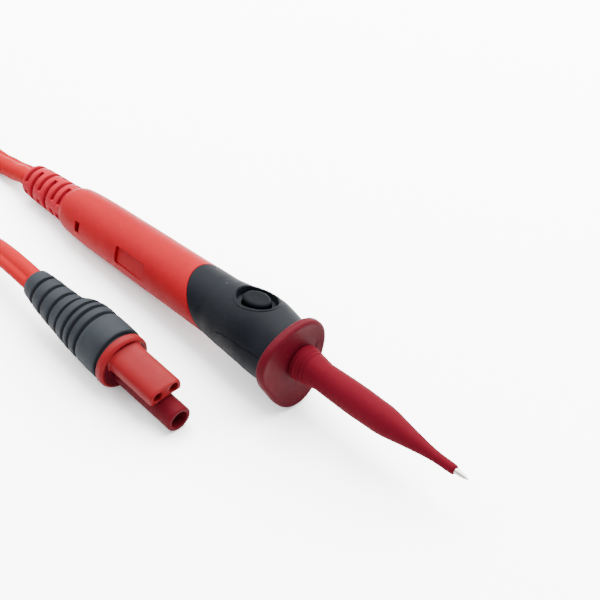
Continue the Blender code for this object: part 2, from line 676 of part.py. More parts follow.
def build_inner_wiring(frame, board_top, finishes):
    tail_back = BOOT_REAR + 0.0001
    turned("lead_tail", [(tail_back, TAIL_RADIUS), (TAIL_FRONT, TAIL_RADIUS)], 20,
           finishes["cable"], frame)
    low = -ROD_RADIUS - GAP - MAIN_WIRE_RADIUS
    route = [(TAIL_FRONT + GAP, 0.0, -0.0012), (-0.0780, 0.0, -0.0020), (-0.0650, 0.0, low),
             (-0.0400, 0.0, low), (ROD_REAR + 0.0007, 0.0, low)]
    round_wire("main_conductor", smooth_route(route, 6), MAIN_WIRE_RADIUS, finishes["wire_red"], frame)
    pad = board_top + GAP + SIGNAL_WIRE_RADIUS
    for name, side, finish in (("signal_wire_left", 1.0, finishes["wire_white"]),
                               ("signal_wire_right", -1.0, finishes["wire_blue"])):
        route = [(TAIL_FRONT + GAP, side * 0.0016, 0.0010), (-0.0760, side * 0.0026, 0.0016),
                 (-0.0600, side * 0.0030, 0.0012), (-0.0470, side * 0.0028, pad + 0.0002),
                 (-0.0430, side * 0.0028, pad), (-0.0380, side * 0.0028, pad)]
        round_wire(name, smooth_route(route, 5), SIGNAL_WIRE_RADIUS, finish, frame)


def plug_boot_radius(x):
    form = PLUG_BOOT_FORM
    for (x0, r0), (x1, r1) in zip(form, form[1:]):
        if x <= x1:
            return r0 + (r1 - r0) * (x - x0) / (x1 - x0)
    return form[-1][1]


def build_plug(frame, finishes):
    bore = TAIL_RADIUS + GAP
    boot_front = CAP_REAR - GAP
    stations = [(PLUG_BOOT_REAR, PLUG_BOOT_FORM[0][1] - 0.0006), PLUG_BOOT_FORM[0]]
    for middle in PLUG_RIBS:
        half = PLUG_RIB_WIDTH / 2.0
        for x, cut in ((middle - half - 0.0002, 0.0), (middle - half, PLUG_RIB_DEPTH),
                       (middle + half, PLUG_RIB_DEPTH), (middle + half + 0.0002, 0.0)):
            stations.append((x, plug_boot_radius(x) - cut))
    stations += [(boot_front, plug_boot_radius(boot_front)), (boot_front, bore), (PLUG_BOOT_REAR, bore)]
    turned("plug_boot", stations, 32, finishes["plug_black"], frame, looped=True)
    cap_front = -FLANGE_THICKNESS - GAP
    turned("plug_cap", [(CAP_REAR, 0.0091), (CAP_REAR + 0.0018, 0.00925), (-0.0110, 0.00930),
                        (cap_front - 0.0006, 0.0091), (cap_front, 0.0088), (cap_front, bore),
                        (CAP_REAR, bore)], 36, finishes["plug_black"], frame, looped=True)
    turned("plug_lead_tail", [(PLUG_BOOT_REAR + 0.0001, TAIL_RADIUS), (cap_front, TAIL_RADIUS)], 20,
           finishes["cable"], frame)
    body = turned("plug_body", [(-FLANGE_THICKNESS, FLANGE_RADIUS - 0.0005),
                                (-FLANGE_THICKNESS + 0.0005, FLANGE_RADIUS),
                                (-0.0010, FLANGE_RADIUS), (-0.0003, FLANGE_RADIUS - 0.0004),
                                (0.0, FLANGE_RADIUS - 0.0012)], 40, finishes["plug_red"], frame)
    shroud = turned("shroud_form", [(-0.0010, SHROUD_RADIUS), (SHROUD_LENGTH - 0.0003, SHROUD_RADIUS),
                                    (SHROUD_LENGTH, SHROUD_RADIUS - 0.0003)], 32, None, frame)
    shroud.location = (0.0, 0.0, -SHROUD_DROP)
    boolean(body, shroud, "UNION")
    boolean(body, extruded("block_form", block_outline(), -0.0010, BLOCK_LENGTH, None, frame), "UNION")
    bore_cut = turned("shroud_bore", [(0.0020, SHROUD_BORE), (SHROUD_LENGTH + 0.002, SHROUD_BORE)],
                      28, None, frame)
    bore_cut.location = (0.0, 0.0, -SHROUD_DROP)
    boolean(body, bore_cut)
    turned("plug_pin", [(0.0020 + GAP, PIN_RADIUS - 0.0002), (0.0026, PIN_RADIUS),
                        (SHROUD_LENGTH - PIN_RECESS - 0.0012, PIN_RADIUS),
                        (SHROUD_LENGTH - PIN_RECESS, PIN_RADIUS - 0.0010)], 20,
           finishes["nickel"], frame).location = (0.0, 0.0, -SHROUD_DROP)
    level = (BLOCK_BOTTOM + BLOCK_TOP) / 2.0 - 0.0003
    for name, side in (("left", 1.0), ("right", -1.0)):
        place = (0.0, side * SENSE_SPACING / 2.0, level)
        cut = turned("sense_hole_" + name, [(BLOCK_LENGTH - SENSE_DEPTH, SENSE_HOLE),
                                            (BLOCK_LENGTH + 0.002, SENSE_HOLE)], 20, None, frame)
        cut.location = place
        boolean(body, cut)
        wall = 0.0004
        outer = SENSE_HOLE - GAP
        back = BLOCK_LENGTH - SENSE_DEPTH + GAP
        front = BLOCK_LENGTH - 0.0016
        contact = turned("sense_contact_" + name, [(back + 0.0012, outer - wall), (front, outer - wall),
                                                   (front, outer), (back, outer)], 16,
                         finishes["nickel"], frame)
        contact.location = place


def block_outline():
    """D-shaped block over the shroud: flat below, arched above."""
    half = BLOCK_WIDTH / 2.0
    corner = 0.0012
    points = [(-half + corner, BLOCK_BOTTOM), (half - corner, BLOCK_BOTTOM)]
    shoulder = BLOCK_BOTTOM + 0.0021
    steps = 12
    points += [(half, BLOCK_BOTTOM + corner)]
    for k in range(steps + 1):
        angle = math.pi * k / steps
        points.append((half * math.cos(angle), shoulder + (BLOCK_TOP - shoulder) * math.sin(angle) ** 0.8))
    points += [(-half, BLOCK_BOTTOM + corner)]
    return points


def lead_exit(frame, x):
    """World place of a point on a frame's own X axis."""
    bpy.context.view_layer.update()
    return frame.matrix_world @ Vector((x, 0.0, 0.0))


def build_lead(handle, plug, finishes):
    """Two free runs and the wound spare length, on the surface that the probe lies on."""
    start = lead_exit(handle, BOOT_REAR - GAP)
    run = [start, lead_exit(handle, BOOT_REAR - 0.0070), (-0.1122, 0.0026, 0.0049),
           (-0.1205, 0.0034, 0.0041), (-0.1300, 0.0054, 0.0037), (-0.1400, 0.0086, LEAD_REST),
           (-0.1495, 0.0123, LEAD_REST)]
    round_wire("lead_probe_run", smooth_route(run, 3), LEAD_RADIUS, finishes["cable"], None)
    start = lead_exit(plug, PLUG_BOOT_REAR - GAP)
    run = [start, lead_exit(plug, PLUG_BOOT_REAR - 0.0070), (-0.0640, -0.0325, 0.0126),
           (-0.0735, -0.0317, 0.0104), (-0.0840, -0.0314, 0.0074), (-0.0950, -0.0324, 0.0049),
           (-0.1070, -0.0356, 0.0038), (-0.1210, -0.0412, 0.0042), (-0.1350, -0.0464, 0.0062),
           (-0.1490, -0.0504, 0.0083)]
    round_wire("lead_plug_run", smooth_route(run, 3), LEAD_RADIUS, finishes["cable"], None)
    inner = HANK_MIDDLE - HANK_HALF_WIDTH
    outer = HANK_MIDDLE + HANK_HALF_WIDTH
    corner = 0.0028
    section = [(inner + corner, 0.0), (outer - corner, 0.0), (outer, corner),
               (outer, HANK_HEIGHT - corner), (outer - corner, HANK_HEIGHT),
               (inner + corner, HANK_HEIGHT), (inner, HANK_HEIGHT - corner), (inner, corner)]
    rings = []
    for r, z in section:
        ring = []
        for k in range(17):
            angle = math.pi * k / 16 - math.pi / 2.0
            ring.append((HANK_STRAIGHT + r * math.cos(angle), r * math.sin(angle), z))
        for k in range(17):
            angle = math.pi * k / 16 + math.pi / 2.0
            ring.append((-HANK_STRAIGHT + r * math.cos(angle), r * math.sin(angle), z))
        rings.append(ring)
    hank = mesh_of_rings("lead_hank", rings, True, finishes["cable"], None)
    hank.location = (*HANK_CENTRE, 0.0)
    # The tie goes round one straight side of the hank
    half = HANK_HALF_WIDTH + GAP
    top = HANK_HEIGHT + GAP
    outline = [(-half - TIE_THICKNESS, GAP), (-half, GAP), (-half, top), (half, top), (half, GAP),
               (half + TIE_THICKNESS, GAP), (half + TIE_THICKNESS, top + TIE_THICKNESS),
               (-half - TIE_THICKNESS, top + TIE_THICKNESS)]
    tie = extruded("lead_tie", outline, -TIE_WIDTH / 2.0, TIE_WIDTH / 2.0, finishes["rubber"], None)
    tie.location = (HANK_CENTRE[0], HANK_CENTRE[1] + HANK_MIDDLE, 0.0)


def main():
    clear_scene()
    finishes = {
        "handle": material("coral_plastic", (0.74, 0.11, 0.09), 0.42),
        "guard": material("guard_plastic", (0.48, 0.035, 0.045), 0.45),
        "prod": material("crimson_soft_plastic", (0.42, 0.025, 0.04), 0.5),
        "grip": material("black_soft_grip", (0.018, 0.02, 0.026), 0.7),
        "button": material("button_rubber", (0.03, 0.033, 0.04), 0.65),
        "boot": material("boot_rubber", (0.68, 0.06, 0.07), 0.5),
        "cable": material("lead_jacket", (0.74, 0.11, 0.09), 0.5),
        "plug_black": material("plug_black", (0.05, 0.055, 0.065), 0.6),
        "plug_red": material("plug_red", (0.52, 0.06, 0.055), 0.45),
        "nickel": material("nickel", (0.72, 0.70, 0.66), 0.25, 1.0),
        "brass": material("brass", (0.78, 0.57, 0.24), 0.3, 1.0),
        "steel": material("steel", (0.62, 0.63, 0.65), 0.25, 1.0),
        "rubber": material("black_rubber", (0.02, 0.02, 0.02), 0.8),
        "white_plastic": material("white_plastic", (0.8, 0.8, 0.78), 0.5),
        "tray": material("grey_plastic", (0.35, 0.36, 0.38), 0.55),
        "board": material("board_green", (0.03, 0.18, 0.08), 0.4),
        "wire_red": material("wire_red", (0.6, 0.05, 0.04), 0.5),
        "wire_white": material("wire_white", (0.8, 0.8, 0.8), 0.5),
        "wire_blue": material("wire_blue", (0.05, 0.12, 0.5), 0.5),
    }
    probe, handle = probe_frames()
    plug = plug_frame()
    build_barrel(handle, finishes["handle"])
    build_grip(handle, finishes["grip"])
    build_guard(probe, finishes["guard"])
    build_boot(handle, finishes["boot"])
    build_chassis(handle, finishes["tray"])
    _, _, board_top, stem_top = build_board(handle, finishes["board"], finishes["grip"])
    for index, place in enumerate(board_screw_places()):
        screw("board_screw_%d" % (index + 1), place, board_top + GAP, 0.0025, 0.0010, 0.0005,
              finishes["steel"], handle)
    build_clamp(handle, finishes["white_plastic"], finishes["steel"])
    build_button(handle, board_top, stem_top, finishes)
    build_rod(probe, finishes)
    build_prod(probe, finishes)
    build_inner_wiring(handle, board_top, finishes)
    build_plug(plug, finishes)
    build_lead(handle, plug, finishes)


main()
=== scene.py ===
"""Looks of the remote test probe: handle, grip, button, guard, prod, boots, plug and twin lead."""

import logging
import math
from dataclasses import dataclass
from enum import Enum
from typing import Callable, Sequence

import bpy
from mathutils import Euler, Matrix, Vector


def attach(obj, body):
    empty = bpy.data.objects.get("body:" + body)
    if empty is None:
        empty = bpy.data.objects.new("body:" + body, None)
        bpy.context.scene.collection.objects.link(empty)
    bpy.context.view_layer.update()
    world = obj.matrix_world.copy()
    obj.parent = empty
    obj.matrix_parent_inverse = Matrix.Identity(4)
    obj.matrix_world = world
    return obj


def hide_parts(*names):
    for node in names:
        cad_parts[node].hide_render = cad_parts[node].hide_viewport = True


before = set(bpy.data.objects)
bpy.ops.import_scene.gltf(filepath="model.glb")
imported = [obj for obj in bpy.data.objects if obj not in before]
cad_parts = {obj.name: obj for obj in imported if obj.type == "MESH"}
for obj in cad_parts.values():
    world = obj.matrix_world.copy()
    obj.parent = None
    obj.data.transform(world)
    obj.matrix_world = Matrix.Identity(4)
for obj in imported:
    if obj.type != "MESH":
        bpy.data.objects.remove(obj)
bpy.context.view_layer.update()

LOG = logging.getLogger("test_probe")

Point = tuple[float, float, float]
Pair = tuple[float, float]
Colour = tuple[float, float, float]
Value = "Socket | float | Colour | None"

# Angles in degrees up to which an edge is shaded smooth
CARVED_EDGE = 32.0
PLAIN_EDGE = 35.0
MOULDED_EDGE = 40.0
PLUG_EDGE = 45.0
SOFT_EDGE = 50.0
ROUND_EDGE = 60.0

# Mean of a noise, and the share of the cells that have no speck
MEAN = 0.5
BARE = 0.8


def placed(origin: Point, turn: Point) -> Matrix:
    """Make a frame from its origin and its turns about X, Y and Z.

    Args:
        origin: Place of the frame's origin, in metres.
        turn: Turns in degrees, X first.

    Returns:
        The frame as a matrix.
    """
    turns = [math.radians(t) for t in turn]
    return Matrix.Translation(origin) @ Euler(turns, "XYZ").to_matrix().to_4x4()


def facing(at: Point, ahead: Vector) -> Matrix:
    """Make the frame of a lamp or a camera that looks ahead, with its top up."""
    return Matrix.Translation(at) @ ahead.to_track_quat("-Z", "Y").to_matrix().to_4x4()


WORLD = Matrix.Identity(4)
UP = Vector((0.0, 0.0, 1.0))
PROBE_FRAME = placed((0.03613, 0.00207, 0.016064), (-12.0, -2.815, 0.0))
HANDLE_FRAME = PROBE_FRAME @ placed((0.0, 0.0, 0.0), (0.0, -1.35, 0.0))
PLUG_FRAME = placed((-0.00364, -0.03233, 0.009203), (0.0, 4.4118, 0.6))


class Body(Enum):
    """Rigid bodies of the frame that pieces ride on."""

    PROBE = "probe"
    BUTTON = "button"
    PROD = "prod"


class Socket:
    """A shader value that Python expressions can be written with."""

    def __init__(self, tree: "ShaderTree", out: bpy.types.NodeSocket) -> None:
        """Keep the tree that the output socket belongs to."""
        self.tree = tree
        self.out = out

    def __add__(self, other: Value) -> "Socket":
        """Add a value."""
        return self.tree.math("ADD", self, other)

    def __sub__(self, other: Value) -> "Socket":
        """Take a value away."""
        return self.tree.math("SUBTRACT", self, other)

    def __rsub__(self, other: Value) -> "Socket":
        """Take this away from a value."""
        return self.tree.math("SUBTRACT", other, self)

    def __mul__(self, other: Value) -> "Socket":
        """Multiply by a value."""
        return self.tree.math("MULTIPLY", self, other)

    def __gt__(self, other: Value) -> "Socket":
        """Give 1 where this is larger."""
        return self.tree.math("GREATER_THAN", self, other)

    def __lt__(self, other: Value) -> "Socket":
        """Give 1 where this is smaller."""
        return self.tree.math("LESS_THAN", self, other)

    __radd__ = __add__
    __rmul__ = __mul__


class ShaderTree:
    """The node tree of one material."""

    def __init__(self, name: str) -> None:
        """Start a material with its plain surface shader.

        Args:
            name: Name of the material.
        """
        self.material = bpy.data.materials.new(name)
        self.material.use_nodes = True
        self.nodes = self.material.node_tree.nodes
        self.links = self.material.node_tree.links
        self.surface = self.nodes["Principled BSDF"]

    def connect(self, target: bpy.types.NodeSocket, value: Value) -> None:
        """Link a socket to a shader value, or set it to a plain one.

        Args:
            target: The input socket.
            value: A shader value, a number, a vector or a colour.
        """
        if isinstance(value, Socket):
            self.links.new(value.out, target)
        elif isinstance(value, tuple) and target.type == "RGBA":
            target.default_value = (*value[:3], 1.0)
        else:
            target.default_value = value

    def node(self, kind: str, settings: dict | None = None, values: dict | None = None,
             out: int | str = 0) -> Socket:
        """Add a node.

        Args:
            kind: Node type.
            settings: Properties of the node, which are set first.
            values: Values or links of its sockets, by name or number.
            out: Which output to give back.

        Returns:
            The chosen output.
        """
        made = self.nodes.new(kind)
        for key, value in (settings or {}).items():
            setattr(made, key, value)
        for key, value in (values or {}).items():
            self.connect(made.inputs[key], value)
        return Socket(self, made.outputs[out])

    def math(self, operation: str, first: Value, second: Value) -> Socket:
        """Add a Math node for two numbers."""
        return self.node("ShaderNodeMath", {"operation": operation}, {0: first, 1: second})

    def clamp(self, value: Value) -> Socket:
        """Keep a number between 0 and 1."""
        return self.node("ShaderNodeClamp", None, {"Value": value})

    def mix(self, factor: Value, first: Value, second: Value) -> Socket:
        """Mix two colours."""
        return self.node("ShaderNodeMix", {"data_type": "RGBA"}, {0: factor, 6: first, 7: second}, 2)

    def place(self, stretch: Point = (1.0, 1.0, 1.0)) -> Socket:
        """Give the piece's own coordinates, stretched by a factor for each axis."""
        coords = self.node("ShaderNodeTexCoord", None, None, "Object")
        return self.node("ShaderNodeVectorMath", {"operation": "MULTIPLY"}, {0: coords, 1: stretch})

    def noise(self, size: float, detail: float = 2.0, stretch: Point = (1.0, 1.0, 1.0),
              roughness: float = 0.5) -> Socket:
        """Give noise whose lumps are about one size across.

        Args:
            size: Size of a lump in metres.
            detail: Octaves of finer noise.
            stretch: Factors on the coordinates.
            roughness: Share of the finer octaves.

        Returns:
            A number near 0.5.
        """
        return self.node("ShaderNodeTexNoise", None,
                         {"Vector": self.place(stretch), "Scale": 1.0 / size, "Detail": detail,
                          "Roughness": roughness})

    def spread(self, value: Socket, low: float, high: float) -> Socket:
        """Stretch a number so that low becomes 0 and high becomes 1, and clamp it."""
        return self.node("ShaderNodeMapRange", None,
                         {"Value": value, "From Min": low, "From Max": high})

    def specks(self, size: float, share: float) -> Socket:
        """Give 1 on scattered dots.

        Args:
            size: Distance between the cells in metres.
            share: Radius of a dot as a share of the cell.

        Returns:
            A mask.
        """
        cells = {"Vector": self.place(), "Scale": 1.0 / size}
        distance = self.node("ShaderNodeTexVoronoi", None, cells)
        picked = self.node("ShaderNodeTexVoronoi", None, cells, "Color")
        chance = self.node("ShaderNodeSeparateColor", None, {"Color": picked})
        return (distance < share) * (chance > BARE)

    def bump(self, height: Socket, depth: float) -> Socket:
        """Turn a height into a normal, with the depth in metres of a height of 1."""
        return self.node("ShaderNodeBump", None, {"Strength": 1.0, "Distance": depth, "Height": height})

    def finish(self, **values: Value) -> bpy.types.Material:
        """Set the surface shader's sockets.

        Args:
            **values: The value of each socket, whose name has _ for a space.

        Returns:
            The finished material.
        """
        for key, value in values.items():
            self.connect(self.surface.inputs[key.replace("_", " ")], value)
        return self.material


@dataclass(frozen=True)
class MouldedPlastic:
    """A satin moulded plastic with spark-eroded grain, faint flow marks and a few dust specks."""

    name: str
    colour: Colour
    deep: Colour
    roughness: float = 0.42
    grain: float = 0.00022
    depth: float = 0.000012
    gloss: float = 0.012
    flow_size: float = 0.011
    cloud_size: float = 0.0025
    dust: float = 0.15
    dust_cell: float = 0.0024
    dust_dot: float = 0.045
    dust_colour: Colour = (0.30, 0.20, 0.19)

    def material(self) -> bpy.types.Material:
        """Build the material.

        Returns:
            The material.
        """
        tree = ShaderTree(self.name)
        flow = tree.spread(tree.noise(self.flow_size, 3.0, (0.35, 1.0, 1.0)), 0.36, 0.66)
        cloud = tree.spread(tree.noise(self.cloud_size, 3.0), 0.3, 0.7)
        fine = tree.noise(self.grain)
        tone = tree.mix(flow * 0.55 + cloud * 0.25, self.colour, self.deep)
        tone = tree.mix(tree.specks(self.dust_cell, self.dust_dot) * self.dust, tone, self.dust_colour)
        rough = self.roughness + (cloud - MEAN) * 0.08 + (fine - MEAN) * 0.12
        height = fine * 0.7 + tree.noise(self.grain * 3.1) * 0.3
        return tree.finish(Base_Color=tone, Roughness=tree.clamp(rough), Specular_IOR_Level=self.gloss,
                           Normal=tree.bump(height, self.depth))


@dataclass(frozen=True)
class SoftRubber:
    """A matt elastomer with fine skin texture, grey bloom and a few pale specks."""

    name: str
    colour: Colour
    bloom: Colour
    roughness: float = 0.62
    grain: float = 0.00028
    depth: float = 0.000016
    gloss: float = 0.04
    cloud_size: float = 0.006
    dust: float = 0.35
    dust_cell: float = 0.0042
    dust_dot: float = 0.030
    dust_colour: Colour = (0.28, 0.28, 0.29)

    def material(self) -> bpy.types.Material:
        """Build the material.

        Returns:
            The material.
        """
        tree = ShaderTree(self.name)
        cloud = tree.spread(tree.noise(self.cloud_size, 4.0), 0.35, 0.7)
        fine = tree.noise(self.grain, 3.0, roughness=0.6)
        tone = tree.mix(cloud * 0.6 + (fine - MEAN) * 0.5, self.colour, self.bloom)
        tone = tree.mix(tree.specks(self.dust_cell, self.dust_dot) * self.dust, tone, self.dust_colour)
        rough = self.roughness + (cloud - MEAN) * 0.12 + (fine - MEAN) * 0.12
        height = fine * 0.8 + tree.noise(self.grain * 4.0) * 0.2
        return tree.finish(Base_Color=tone, Roughness=tree.clamp(rough), Specular_IOR_Level=self.gloss,
                           Normal=tree.bump(height, self.depth))


@dataclass(frozen=True)
class TurnedMetal:
    """A plated or bare metal with fine turning marks round its own X axis and slight tarnish."""

    name: str
    colour: Colour
    tarnish: Colour
    roughness: float = 0.24
    pitch: float = 0.00012
    depth: float = 0.000004
    cloud_size: float = 0.002

    def material(self) -> bpy.types.Material:
        """Build the material.

        Returns:
            The material.
        """
        tree = ShaderTree(self.name)
        marks = tree.noise(self.pitch, 1.0, (1.0, 0.03, 0.03))
        cloud = tree.spread(tree.noise(self.cloud_size, 3.0), 0.4, 0.75)
        tone = tree.mix(cloud * 0.5, self.colour, self.tarnish)
        rough = self.roughness + cloud * 0.12 + (marks - MEAN) * 0.15
        return tree.finish(Base_Color=tone, Metallic=1.0, Roughness=tree.clamp(rough),
                           Normal=tree.bump(marks, self.depth))


@dataclass(frozen=True)
class LacqueredBoard:
    """Glass-fibre board with green lacquer over copper tracks."""

    name: str
    lacquer: Colour
    copper: Colour
    shade: Colour = (0.02, 0.1, 0.05)
    tracks_per_metre: float = 260.0
    weave_size: float = 0.0004
    depth: float = 0.00001

    def material(self) -> bpy.types.Material:
        """Build the material.

        Returns:
            The material.
        """
        tree = ShaderTree(self.name)
        tracks = tree.node("ShaderNodeTexBrick", None,
                           {"Vector": tree.place(), "Scale": self.tracks_per_metre, "Mortar Size": 0.06,
                            "Color1": (1.0, 1.0, 1.0), "Color2": (0.8, 0.8, 0.8), "Mortar": (0.0, 0.0, 0.0)})
        weave = tree.noise(self.weave_size, 2.0, (1.0, 0.3, 1.0))
        tone = tree.mix(tracks, self.copper, self.lacquer)
        tone = tree.mix(weave * 0.2, tone, self.shade)
        return tree.finish(Base_Color=tone, Roughness=tree.clamp(0.3 + weave * 0.2),
                           Normal=tree.bump(weave, self.depth))


@dataclass(frozen=True)
class StudioFloor:
    """The pale paper that the parts lie on."""

    name: str
    colour: Colour
    roughness: float = 0.9
    gloss: float = 0.1

    def material(self) -> bpy.types.Material:
        """Build the material."""
        tree = ShaderTree(self.name)
        return tree.finish(Base_Color=self.colour, Roughness=self.roughness, Specular_IOR_Level=self.gloss)


Finish = MouldedPlastic | SoftRubber | TurnedMetal | LacqueredBoard | StudioFloor

CORAL = MouldedPlastic("coral_handle_plastic", (0.142, 0.0036, 0.0058), (0.114, 0.0028, 0.0048), 0.42)
# The guard's own darker red, darkened further as painted shade for its face, which turns away from the key
# light; the flange's disc of painted shade wears it too
GUARD_RED_AND_SHADE = MouldedPlastic("guard_plastic", (0.034, 0.0014, 0.0038), (0.028, 0.0012, 0.0032), 0.46,
                           gloss=0.020)
PROD_RED = MouldedPlastic("prod_plastic", (0.047, 0.0021, 0.0050), (0.039, 0.0017, 0.0042), 0.52,
                          gloss=0.006)
BOOT_RED = MouldedPlastic("boot_elastomer", (0.165, 0.0052, 0.0105), (0.136, 0.0042, 0.0088), 0.50, 0.0003)
JACKET_RED = MouldedPlastic("lead_jacket", (0.152, 0.0034, 0.0048), (0.132, 0.0027, 0.0040), 0.45,
                            0.00035, 0.000008)
PLUG_RED = MouldedPlastic("plug_plastic", (0.084, 0.0032, 0.0046), (0.066, 0.0025, 0.0036), 0.45,
                          gloss=0.03)
# The shroud's red plastic, darkened as painted shade for the sense block's shadow on it
SHROUD_RED_AND_SHADE = MouldedPlastic("shroud_plastic_and_painted_shade", (0.042, 0.0022, 0.0044), (0.034, 0.0018, 0.0037), 0.46)
GRIP_BLACK = SoftRubber("grip_elastomer", (0.0010, 0.0015, 0.0025), (0.0032, 0.0040, 0.0058), 0.60)
PAD_BLACK = SoftRubber("button_rubber", (0.0004, 0.0008, 0.0014), (0.0012, 0.0017, 0.0025), 0.60,
                       gloss=0.02)
PLUG_BLACK = SoftRubber("plug_elastomer", (0.0075, 0.0090, 0.0112), (0.0120, 0.0142, 0.0168), 0.62)
TIE_BLACK = SoftRubber("tie_rubber", (0.003, 0.003, 0.003), (0.006, 0.006, 0.006), 0.7)
TRAY_GREY = MouldedPlastic("tray_plastic", (0.30, 0.31, 0.33), (0.24, 0.25, 0.27), 0.5)
CLAMP_WHITE = MouldedPlastic("clamp_plastic", (0.75, 0.74, 0.70), (0.68, 0.66, 0.61), 0.45)
SWITCH_BLACK = MouldedPlastic("switch_plastic", (0.03, 0.03, 0.03), (0.02, 0.02, 0.02), 0.4)
WIRE_RED = MouldedPlastic("wire_insulation_red", (0.60, 0.05, 0.04), (0.5, 0.04, 0.03), 0.35)
WIRE_WHITE = MouldedPlastic("wire_insulation_white", (0.78, 0.78, 0.76), (0.7, 0.7, 0.66), 0.35)
WIRE_BLUE = MouldedPlastic("wire_insulation_blue", (0.04, 0.10, 0.45), (0.03, 0.08, 0.38), 0.35)
STEEL = TurnedMetal("tip_steel", (0.30, 0.29, 0.28), (0.10, 0.09, 0.08), 0.30)
NICKEL = TurnedMetal("contact_nickel", (0.45, 0.43, 0.40), (0.28, 0.25, 0.20), 0.26)
BRASS = TurnedMetal("turned_brass", (0.80, 0.60, 0.28), (0.55, 0.38, 0.18), 0.28)
BOARD_GREEN = LacqueredBoard("board_lacquer", (0.02, 0.16, 0.06), (0.35, 0.25, 0.06))
PAPER = StudioFloor("studio_paper", (0.96, 0.96, 0.96))


class Finishes:
    """Materials made once each, by finish."""

    _made: dict[str, bpy.types.Material] = {}

    @classmethod
    def of(cls, finish: Finish) -> bpy.types.Material:
        """Give a finish's material, built on its first use.

        Args:
            finish: The finish.

        Returns:
            Its material.
        """
        if finish.name not in cls._made:
            cls._made[finish.name] = finish.material()
        return cls._made[finish.name]


def smoothstep(t: float) -> float:
    """Ease from 0 to 1."""
    t = min(1.0, max(0.0, t))
    return t * t * (3.0 - 2.0 * t)


def between(value: float, low: float, high: float) -> float:
    """Ease from 0 at low to 1 at high."""
    return smoothstep((value - low) / (high - low))


def angles(count: int) -> list[float]:
    """Give the angles of a full turn in equal steps."""
    return [2 * math.pi * k / count for k in range(count)]


def along(table: Sequence[Sequence[float]], x: float, column: int = 1) -> float:
    """Read a table of rows, sorted by their first number, with straight lines between the rows.

    Args:
        table: The rows.
        x: Where to read.
        column: Which number of a row to give.

    Returns:
        The value at x.
    """
    if x <= table[0][0]:
        return table[0][column]
    for low, high in zip(table, table[1:]):
        if x <= high[0]:
            share = (x - low[0]) / (high[0] - low[0])
            return low[column] + (high[column] - low[column]) * share
    return table[-1][column]


def through(points: Sequence[Sequence[float]], steps: int = 4) -> list[tuple[float, ...]]:
    """Draw a smooth curve through points.

    Args:
        points: Points of any number of coordinates.
        steps: Stretches between two neighbouring points.

    Returns:
        The points of the finer curve.
    """
    nodes = [Vector(p) for p in points]
    nodes = [2.0 * nodes[0] - nodes[1]] + nodes + [2.0 * nodes[-1] - nodes[-2]]
    fine = []
    for before, start, end, after in zip(nodes, nodes[1:], nodes[2:], nodes[3:]):
        for k in range(steps):
            t = k / steps
            fine.append(tuple(0.5 * (2.0 * start + (end - before) * t
                                     + (2.0 * before - 5.0 * start + 4.0 * end - after) * t * t
                                     + (3.0 * start - before - 3.0 * end + after) * t ** 3)))
    fine.append(tuple(nodes[-2]))
    return fine


def filleted(points: Sequence[Pair], radius: float, steps: int = 4) -> list[Pair]:
    """Round the inner corners of an open line.

    Args:
        points: The line's corners.
        radius: How far from a corner its rounding starts, at most.
        steps: Stretches of each rounding.

    Returns:
        The rounded line.
    """
    most = 0.45
    out = [points[0]]
    for before, corner, after in zip(points, points[1:], points[2:]):
        a, b, c = Vector(before), Vector(corner), Vector(after)
        reach = min(radius, most * (b - a).length, most * (c - b).length)
        start = b + (a - b).normalized() * reach
        end = b + (c - b).normalized() * reach
        for k in range(steps + 1):
            t = k / steps
            p = start * (1 - t) ** 2 + b * (2 * t * (1 - t)) + end * t * t
            out.append((p.x, p.y))
    out.append(points[-1])
    return out


@dataclass
class Piece:
    """One mesh on its way to a finished object."""

    name: str
    verts: list[Point]
    faces: list[tuple[int, ...]]

    @classmethod
    def skin(cls, name: str, rings: Sequence[Sequence[Point]], looped: bool = False) -> "Piece":
        """Skin closed rings of points, and fill the end rings of an open skin.

        Args:
            name: Name of the piece.
            rings: Rings with the same number of points.
            looped: Whether the last ring joins the first.

        Returns:
            The piece.
        """
        count = len(rings[0])
        verts = [tuple(p) for ring in rings for p in ring]
        faces: list[tuple[int, ...]] = []
        pairs = list(zip(range(len(rings)), range(1, len(rings))))
        if looped:
            pairs.append((len(rings) - 1, 0))
        for a, b in pairs:
            for i in range(count):
                j = (i + 1) % count
                faces.append((a * count + i, a * count + j, b * count + j, b * count + i))
        if not looped:
            faces.append(tuple(reversed(range(count))))
            faces.append(tuple(range((len(rings) - 1) * count, len(rings) * count)))
        return cls(name, verts, faces)

    @classmethod
    def turned(cls, name: str, profile: Sequence[Sequence[float]], sides: int = 96, looped: bool = False,
               drop: float = 0.0) -> "Piece":
        """Turn a profile of (x, radius) round X.

        Args:
            name: Name of the piece.
            profile: The profile, with how far the ring's centre is off the axis as a third number,
                halfway between +Y and +Z.
            sides: Facets round the axis.
            looped: Whether the profile is closed, as a tube's is.
            drop: How far the axis lies below the frame's own.

        Returns:
            The piece.
        """
        rings = []
        for x, r, *shift in profile:
            lift = shift[0] * math.sqrt(0.5) if shift else 0.0
            rings.append([(x, r * math.sin(a) + lift, r * math.cos(a) + lift - drop) for a in angles(sides)])
        return cls.skin(name, rings, looped)

    @classmethod
    def warped(cls, name: str, stations: int, sides: int, surface: Callable[[int, float], Point],
               looped: bool = False) -> "Piece":
        """Skin rings whose points come from a function of the station and the angle."""
        rings = [[surface(s, angle) for angle in angles(sides)] for s in range(stations)]
        return cls.skin(name, rings, looped)

    def build(self, place: Matrix = WORLD, sharp: float = PLAIN_EDGE) -> bpy.types.Object:
        """Make the object.

        Args:
            place: The frame that its points are given in.
            sharp: Angle in degrees up to which an edge is shaded smooth.

        Returns:
            The object.
        """
        data = bpy.data.meshes.new(self.name)
        data.from_pydata(self.verts, [], self.faces)
        data.validate()
        face_out(data)
        data.shade_smooth()
        data.set_sharp_from_angle(angle=math.radians(sharp))
        made = bpy.data.objects.new(self.name, data)
        made.matrix_world = place
        bpy.context.collection.objects.link(made)
        return made


